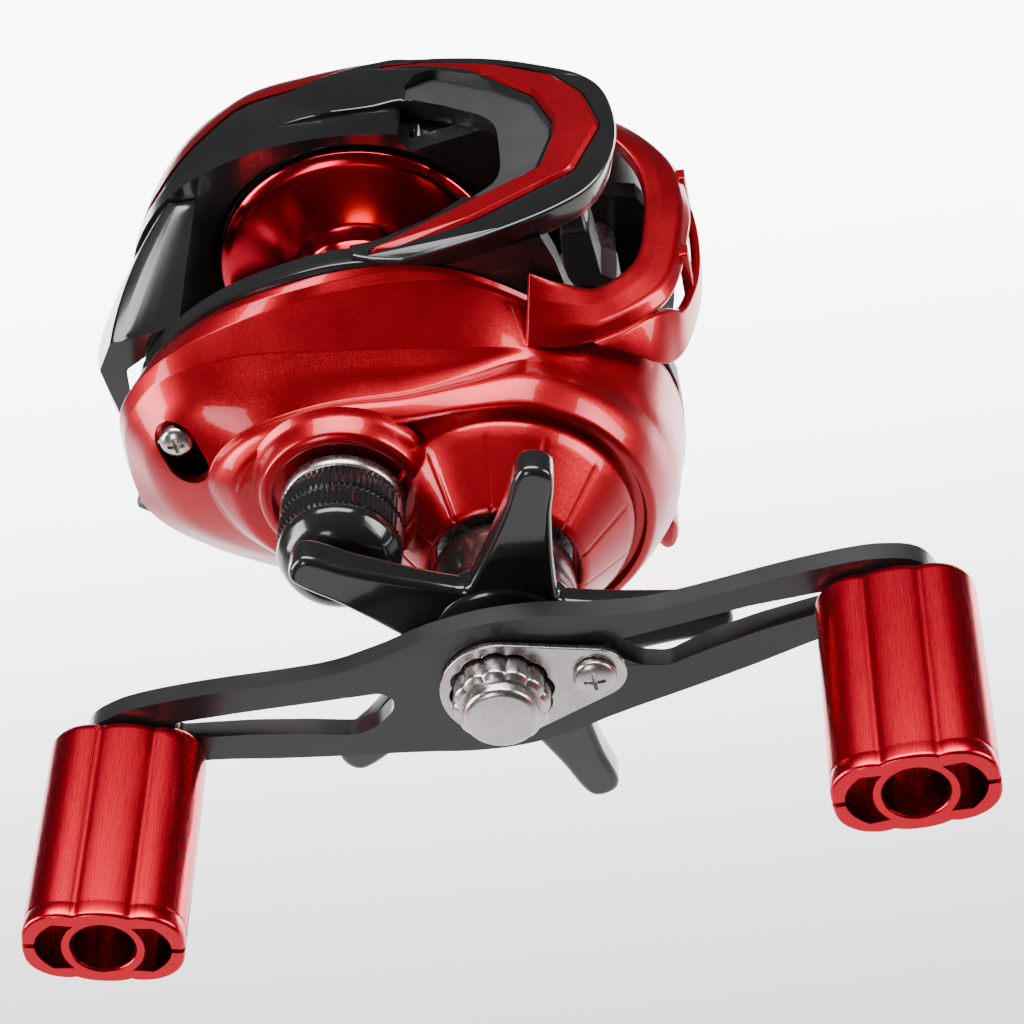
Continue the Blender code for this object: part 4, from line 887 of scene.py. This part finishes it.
# Edges of the thumb bar as (Y, Z) at its palm end, middle and crank end, from the spool side round its back
THUMB_EDGES = [
    ((-18.3, 37.0), (-18.6, 36.0), (-19.0, 34.6)),
    ((-20.7, 37.0), (-24.2, 35.6), (-26.6, 33.2)),
    ((-21.9, 37.2), (-26.0, 35.5), (-28.0, 33.2)),
    ((-26.2, 32.2), (-31.2, 27.8), (-30.3, 29.3)),
    ((-28.2, 27.6), (-32.2, 22.4), (-29.4, 21.6)),
    ((-26.4, 26.8), (-30.2, 21.6), (-27.8, 20.8)),
    ((-22.4, 33.0), (-26.8, 29.8), (-27.0, 28.8)),
    ((-19.4, 35.0), (-20.8, 33.4), (-21.2, 32.2)),
]


def build_thumb_bar():
    """Thumb bar: a dished panel that widens to the crank side, and a broad lip behind it."""
    rings = []
    for step in range(33):
        share = step / 32
        weights = (2 * (share - 0.5) * (share - 1), 4 * share * (1 - share), 2 * share * (share - 0.5))
        section = []
        for edge in THUMB_EDGES:
            section.append(tuple(sum(w * p[k] for w, p in zip(weights, edge)) for k in (0, 1)))
        (y0, z0), (y1, z1) = section[0], section[1]
        dish = 0.75 * math.sin(math.pi * share) ** 0.5
        floor = [(y0 + (y1 - y0) * t, z0 + (z1 - z0) * t - dish * math.sin(math.pi * t) ** 0.7)
                 for t in (0.12, 0.3, 0.5, 0.7, 0.88)]
        section = rounded_loop([section[0]] + floor + section[1:], 0.35, 2)
        x = -11.25 + 22.5 * share
        rings.append([(x, y, z) for y, z in section])
    piece = soften(skin("thumb_rest", rings, sharp=40.0), 0.15, 2, 50.0)
    return install(piece, "thumb_bar")


# ----------------------------------------------------------- handle and knobs

def handle_space(s, t, x):
    """Point on the handle: s along its length, t across it, x outwards."""
    sweep = HANDLE_SWEEP * max(0.0, abs(s) - 12.0) / (KNOB_REACH - 12.0)
    return (x - sweep, CRANK[0] + s * math.cos(HANDLE_TILT) - t * math.sin(HANDLE_TILT),
            CRANK[1] + s * math.sin(HANDLE_TILT) + t * math.cos(HANDLE_TILT))


HANDLE_TOP = [(0.0, 9.5), (6.5, 8.9), (12.0, 7.5), (18.0, 6.1), (24.0, 5.8), (33.0, 5.8), (40.5, 5.4),
              (45.0, 4.6), (48.6, 2.8), (50.0, -0.6), (48.8, -3.6), (45.6, -5.2), (41.0, -4.6),
              (36.0, -4.4), (28.0, -5.6), (20.0, -6.6), (12.0, -7.5), (6.0, -8.9)]
HANDLE_SLOT = [(12.4, 1.2), (13.6, 2.3), (18.0, 2.3), (30.0, 2.3), (38.6, 2.1), (38.9, -0.4),
               (30.0, -1.3), (24.0, -2.3), (18.4, -3.5), (15.4, -2.6), (12.8, -0.4)]


def build_handle():
    left = [(-s, t) for s, t in HANDLE_TOP[:0:-1]]
    outline = curve_through(HANDLE_TOP + [(0.0, -9.5)] + left, 4)
    outline = [(s, t * 0.995) for s, t in outline]
    handle = skin("handle_blade", [[handle_space(s, t, x) for s, t in outline]
                                   for x in (HANDLE_FACE - HANDLE_THICK, HANDLE_FACE)])
    tools = []
    for side, end in ((1, "front"), (-1, "rear")):
        slot = rounded_loop([(side * s, t) for s, t in HANDLE_SLOT], 0.9, 4)
        tools.append(skin("slot", [[handle_space(s, t, x) for s, t in slot] for x in (54.0, 63.0)]))
        tools.append(prism("hole", circle(2.1, KNOBS[end], 40), 50.0, 64.0))
    tools.append(prism("hole", circle(3.1, CRANK, 48), 50.0, 59.3))
    tools.append(prism("hole", circle(2.3, CRANK, 48), 58.0, 64.0))
    tools.append(prism("hole", circle(1.1, handle_space(RETAINER_SCREW, 0.0, 0.0)[1:], 32), 50.0, 64.0))
    return install(soften(cut(handle, *tools), 0.45, 4, 34.0), "handle_arm")


def build_fastening():
    """Twelve-point nut, retainer plate and its cross screw."""
    def points(x, radius, angle):
        if radius < 4.6:
            return radius
        return radius - 0.36 + 0.36 * abs(math.cos(6 * angle)) ** 0.7

    skirt = rounded_profile([(60.3, 2.35), (60.3, 5.55), (63.6, 5.55), (64.1, 4.95)], 0.25)
    crown = rounded_profile([(64.1, 4.4), (65.3, 4.3), (65.75, 3.8), (65.75, 0.05)], 0.35, 4)
    install(lathe("nut_body", skirt + crown, CRANK, 192, False, points), "handle_nut")
    place = handle_space(RETAINER_SCREW, 0.0, 0.0)[1:]
    blend = math.acos((RETAINER_WIDE - RETAINER_NARROW) / RETAINER_SCREW)
    outline = []
    for i in range(33):
        angle = HANDLE_TILT - blend + 2 * blend * i / 32
        outline.append((place[0] + RETAINER_NARROW * math.cos(angle),
                        place[1] + RETAINER_NARROW * math.sin(angle)))
    for i in range(65):
        angle = HANDLE_TILT + blend + 2 * (math.pi - blend) * i / 64
        outline.append((CRANK[0] + RETAINER_WIDE * math.cos(angle),
                        CRANK[1] + RETAINER_WIDE * math.sin(angle)))
    plate = prism("retainer", outline, 60.3, 61.15)
    star = []
    for i in range(96):
        angle = 2 * math.pi * i / 96
        radius = 5.55 + 0.4 * abs(math.cos(6 * angle))
        star.append((CRANK[0] + radius * math.cos(angle), CRANK[1] + radius * math.sin(angle)))
    cut(plate, prism("hole", star, 59.0, 63.0), prism("hole", circle(1.1, place, 32), 59.0, 63.0))
    install(soften(plate, 0.16, 3), "nut_retainer")
    screw = pan_screw("lock_screw", place, 57.8, 61.4, 0.95, 2.45, 1.2, (1.5, 0.26), 61.75)
    install(screw, "retainer_screw")
    screw = pan_screw("side_screw", COVER_SCREW, 16.5, 25.2, 0.95, 2.05, 1.7, (1.3, 0.3), 26.0)
    install(screw, "cover_screw")


def pan_screw(name, place, tip, seat, shank, head, rise, cross, floor):
    """Pan-head screw with a cross recess."""
    dome = [(seat, shank), (seat, head)]
    for step in range(7):
        angle = math.pi / 2 * step / 6
        dome.append((seat + rise * (0.35 + 0.65 * math.sin(angle)), head * (0.12 + 0.88 * math.cos(angle))))
    screw = lathe(name, [(tip, 0.05), (tip, shank)] + dome + [(dome[-1][0], 0.03)], place, 64, False)
    tools = []
    for a, b in (cross, cross[::-1]):
        corners = [(place[0] - a, place[1] - b), (place[0] + a, place[1] - b),
                   (place[0] + a, place[1] + b), (place[0] - a, place[1] + b)]
        low = [(place[0] + (y - place[0]) * 0.7, place[1] + (z - place[1]) * 0.7) for y, z in corners]
        levels = ((floor, low), (seat + rise + 1.0, corners))
        tools.append(skin("cross", [[(x, y, z) for y, z in outline] for x, outline in levels]))
    return soften(cut(screw, *tools), 0.06, 2, 35.0)


def on_knob(turn, centre, u, v):
    """(Y, Z) of a point u along and v across a knob's section."""
    return (centre[0] + u * math.cos(turn) - v * math.sin(turn),
            centre[1] + u * math.sin(turn) + v * math.cos(turn))


def knob_outline(turn, centre, grow=1.0, count=216):
    """Paddle section with three lobes on each broad face."""
    made = []
    for i in range(count):
        angle = 2 * math.pi * i / count
        c, s = math.cos(angle), math.sin(angle)
        u = 8.9 * math.copysign(abs(c) ** 0.75, c)
        v = 5.4 * math.copysign(abs(s) ** 0.62, s)
        lobes = abs(math.sin(math.pi * (u + 3.1) / 6.2)) ** 0.5
        v *= 1.0 - 0.11 * (1 - lobes) * min(1.0, abs(s) * 1.6)
        made.append(on_knob(turn, centre, u * grow, v * grow))
    return made


def knob_hollow(turn, centre, side):
    """Crescent between the bore's wall and the knob's narrow end, open through a thin slot."""
    outline = [(10.2, 0.28), (7.5, 0.30)]
    for i in range(1, 9):
        angle = math.radians(4 + 40 * i / 8)
        outline.append((7.3 * math.cos(angle) + 0.2, 4.9 * math.sin(angle)))
    for i in range(17):
        angle = math.radians(46 - 92 * i / 16)
        outline.append((4.55 * math.cos(angle), 4.55 * math.sin(angle)))
    for i in range(8, 0, -1):
        angle = math.radians(4 + 40 * i / 8)
        outline.append((7.3 * math.cos(angle) + 0.2, -4.9 * math.sin(angle)))
    outline += [(7.5, -0.30), (10.2, -0.28)]
    return [on_knob(turn, centre, side * u, side * v) for u, v in outline]


def build_knob(end):
    centre, turn = KNOBS[end], KNOB_TURNS[end]
    levels = [(KNOB_START, 0.93), (KNOB_START + 0.25, 0.965), (KNOB_START + 0.7, 0.99),
              (KNOB_START + 1.2, 1.0), (KNOB_END - 2.6, 1.0), (KNOB_END - 2.3, 0.985),
              (KNOB_END - 2.0, 1.0), (KNOB_END - 0.5, 1.0), (KNOB_END - 0.15, 0.985), (KNOB_END, 0.955)]
    rings = [[(x, y, z) for y, z in knob_outline(turn, centre, grow)] for x, grow in levels]
    grip = skin("grip_" + end, rings, sharp=40.0)
    bore = [(56.0, 0.05), (56.0, 2.4), (61.0, 2.4), (61.0, 3.4), (KNOB_END - 0.4, 3.4), (KNOB_END + 0.2, 3.9),
            (KNOB_END + 2.0, 3.9), (KNOB_END + 2.0, 0.05)]
    cut(grip, lathe("bore", bore, centre, 96),
        prism("hollow", knob_hollow(turn, centre, 1), KNOB_END - 8.0, KNOB_END + 2.0),
        prism("hollow", knob_hollow(turn, centre, -1), KNOB_END - 8.0, KNOB_END + 2.0))
    return install(soften(grip, 0.14, 2, 40.0), "knob_" + end)


# --------------------------------------------------------- star and tension cap

def build_star():
    """Five-armed star; half an arm is (radius, degrees from its middle line), and the hub is turned."""
    half = [(10.2, 28.0), (12.4, 19.5), (16.0, 12.0), (20.4, 7.2), (24.2, 5.4), (25.9, 3.6)]
    arm = [(9.2, -36.0)] + [(radius, -degrees) for radius, degrees in half] + [(26.4, 0.0)] + half[::-1]
    outline = []
    for index in range(STAR_ARMS):
        for radius, degrees in arm:
            angle = 2 * math.pi * index / STAR_ARMS + math.radians(degrees)
            outline.append((CRANK[0] + radius * math.cos(angle), CRANK[1] + radius * math.sin(angle)))
    outline = curve_through(outline, 4)
    rings = []
    for share in (0.0, 0.5, 1.0):
        ring = []
        for y, z in outline:
            radius = math.dist((y, z), CRANK)
            thin = 0.9 * (1 - min(1.0, max(0.0, (radius - 12.0) / 10.0)))
            ring.append((STAR_START + thin * 0.3 + (STAR_THICK - thin) * share, y, z))
        rings.append(ring)
    star = soften(skin("star_arms", rings, sharp=50.0), 1.15, 5, 50.0)
    profile = [(43.8, 3.15), (43.8, 6.9), (41.2, 7.0), (41.2, 8.3), (48.6, 8.9), (50.4, 9.6), (53.4, 8.4),
               (54.2, 6.6), (54.2, 3.15)]
    hub = lathe("hub", rounded_profile(profile, 0.6, 4), CRANK, 128)
    return install(gather(star, hub), "drag_star")


def build_tension_cap():
    """Cap with two knurled bands and a glossy dome, and the silver bush under it."""
    def knurl(x, radius, angle):
        if radius < 7.0 or x > 43.4 or abs(x - 40.15) < 0.25:
            return radius
        return radius - 0.26 * abs(math.sin(32 * angle)) ** 1.6

    profile = []
    for x0, x1 in ((36.7, 39.9), (40.4, 43.3)):
        profile += [(x0, 7.0), (x0 + 0.25, 7.35), (x1 - 0.25, 7.35), (x1, 7.0)]
    dome = [(43.5, 6.9), (43.6, 7.25), (44.6, 7.25), (46.4, 6.2), (47.4, 4.8), (47.5, 0.05)]
    bore = [(42.6, 0.05), (42.6, 3.6), (41.2, 3.6), (41.2, 5.3), (36.7, 5.3)]
    cap = lathe("cap_body", bore + profile + rounded_profile(dome, 0.7, 5), SPOOL, 384, False, knurl)
    install(cap, "tension_cap")
    bush = [(34.8, 3.6), (40.6, 3.6), (40.6, 5.2), (36.5, 5.2), (36.4, 7.1), (35.9, 7.3), (34.8, 7.3)]
    install(lathe("bush_body", rounded_loop(bush, 0.2, 3), SPOOL, 128), "tension_bush")


# ------------------------------------------------------------------ small parts

# CAD nodes whose shape is kept, each with the width of its rounded edges
SMALL_PARTS = {
    "line_guide": 0.3, "line_guide_ring": 0.2, "worm_guard": 0.15, "guide_rod": 0.12, "worm_shaft": 0.12,
    "reel_foot": 0.3, "clutch_cam": 0.15, "main_shaft": 0.15, "knob_post_front": 0.15, "knob_post_rear": 0.15,
    "knob_screw_front": 0.1, "knob_screw_rear": 0.1, "knob_bearing_front": 0.1, "knob_bearing_rear": 0.1,
    "one_way_sleeve": 0.15, "spring_washer": 0.1, "brake_plate": 0.15, "spool_shaft": 0.08,
}


def build_small_parts():
    for node, width in SMALL_PARTS.items():
        install(refined(node, width), node)
    for node, item in NODES.items():
        item.data.materials.clear()
        item.data.materials.append(MATERIALS[SLOT_OF[node]])


# --------------------------------------------------------------------- studio

def soft_box(name, place, target, size, power, spread):
    light = bpy.data.lights.new(name, "AREA")
    light.shape = "RECTANGLE"
    light.size, light.size_y = size
    light.energy = power
    light.spread = math.radians(spread)
    made = bpy.data.objects.new(name, light)
    made.location = place
    aim = Vector(target) - Vector(place)
    made.rotation_euler = aim.to_track_quat("-Z", "Y").to_euler()
    bpy.context.collection.objects.link(made)


def build_studio():
    camera = bpy.data.cameras.new("view")
    camera.sensor_width = 36.0
    camera.lens = CAMERA_LENS
    made = bpy.data.objects.new("view", camera)
    bpy.context.collection.objects.link(made)
    right = Vector(CAMERA_RIGHT).normalized()
    back = Vector(CAMERA_BACK).normalized()
    up = back.cross(right).normalized()
    right = up.cross(back)
    turn = Matrix((right, up, back)).transposed().to_4x4()
    made.matrix_world = Matrix.Translation(CAMERA_PLACE) @ turn
    bpy.context.scene.camera = made

    low = CAD_BOX[0][2] - FLOOR_GAP
    corners = ((-3, -3), (3, -3), (3, 3), (-3, 3))
    floor = new_mesh("floor", [(x / MM, y / MM, low / MM) for x, y in corners], [(0, 1, 2, 3)])
    n = Nodes("pale_floor")
    wide = n.span(n.noise(3.0), 0.0, 1.0)
    n.set(Base_Color=n.mix(wide, rgb(0.93, 0.93, 0.93), rgb(0.95, 0.95, 0.95)), Roughness=0.9)
    floor.data.materials.append(n.material)

    world = bpy.data.worlds.new("studio")
    bpy.context.scene.world = world
    world.use_nodes = True
    world.node_tree.nodes["Background"].inputs["Color"].default_value = (1.0, 1.0, 1.0, 1.0)
    world.node_tree.nodes["Background"].inputs["Strength"].default_value = 0.07

    soft_box("top", (-0.16, 0.02, 0.62), LIT_PLACE, (0.60, 0.34), 3.8, 130.0)
    soft_box("left", (0.12, -0.60, 0.22), LIT_PLACE, (0.22, 0.55), 1.5, 90.0)
    soft_box("right", (0.02, 0.62, 0.26), LIT_PLACE, (0.20, 0.45), 0.9, 90.0)
    soft_box("front", (0.70, -0.20, 0.30), LIT_PLACE, (0.16, 0.40), 0.4, 90.0)
    soft_box("backdrop", (-0.44, 0.0, 0.35), (-0.44, 0.0, -0.2), (0.50, 0.90), 13.0, 45.0)


build_crank_cover()
build_palm_cover()
build_brake_dial()
build_frame()
build_hood()
build_chevron()
build_bumper()
build_spool()
build_thumb_bar()
build_handle()
build_fastening()
for knob_end in KNOBS:
    build_knob(knob_end)
build_star()
build_tension_cap()
build_small_parts()
build_studio()
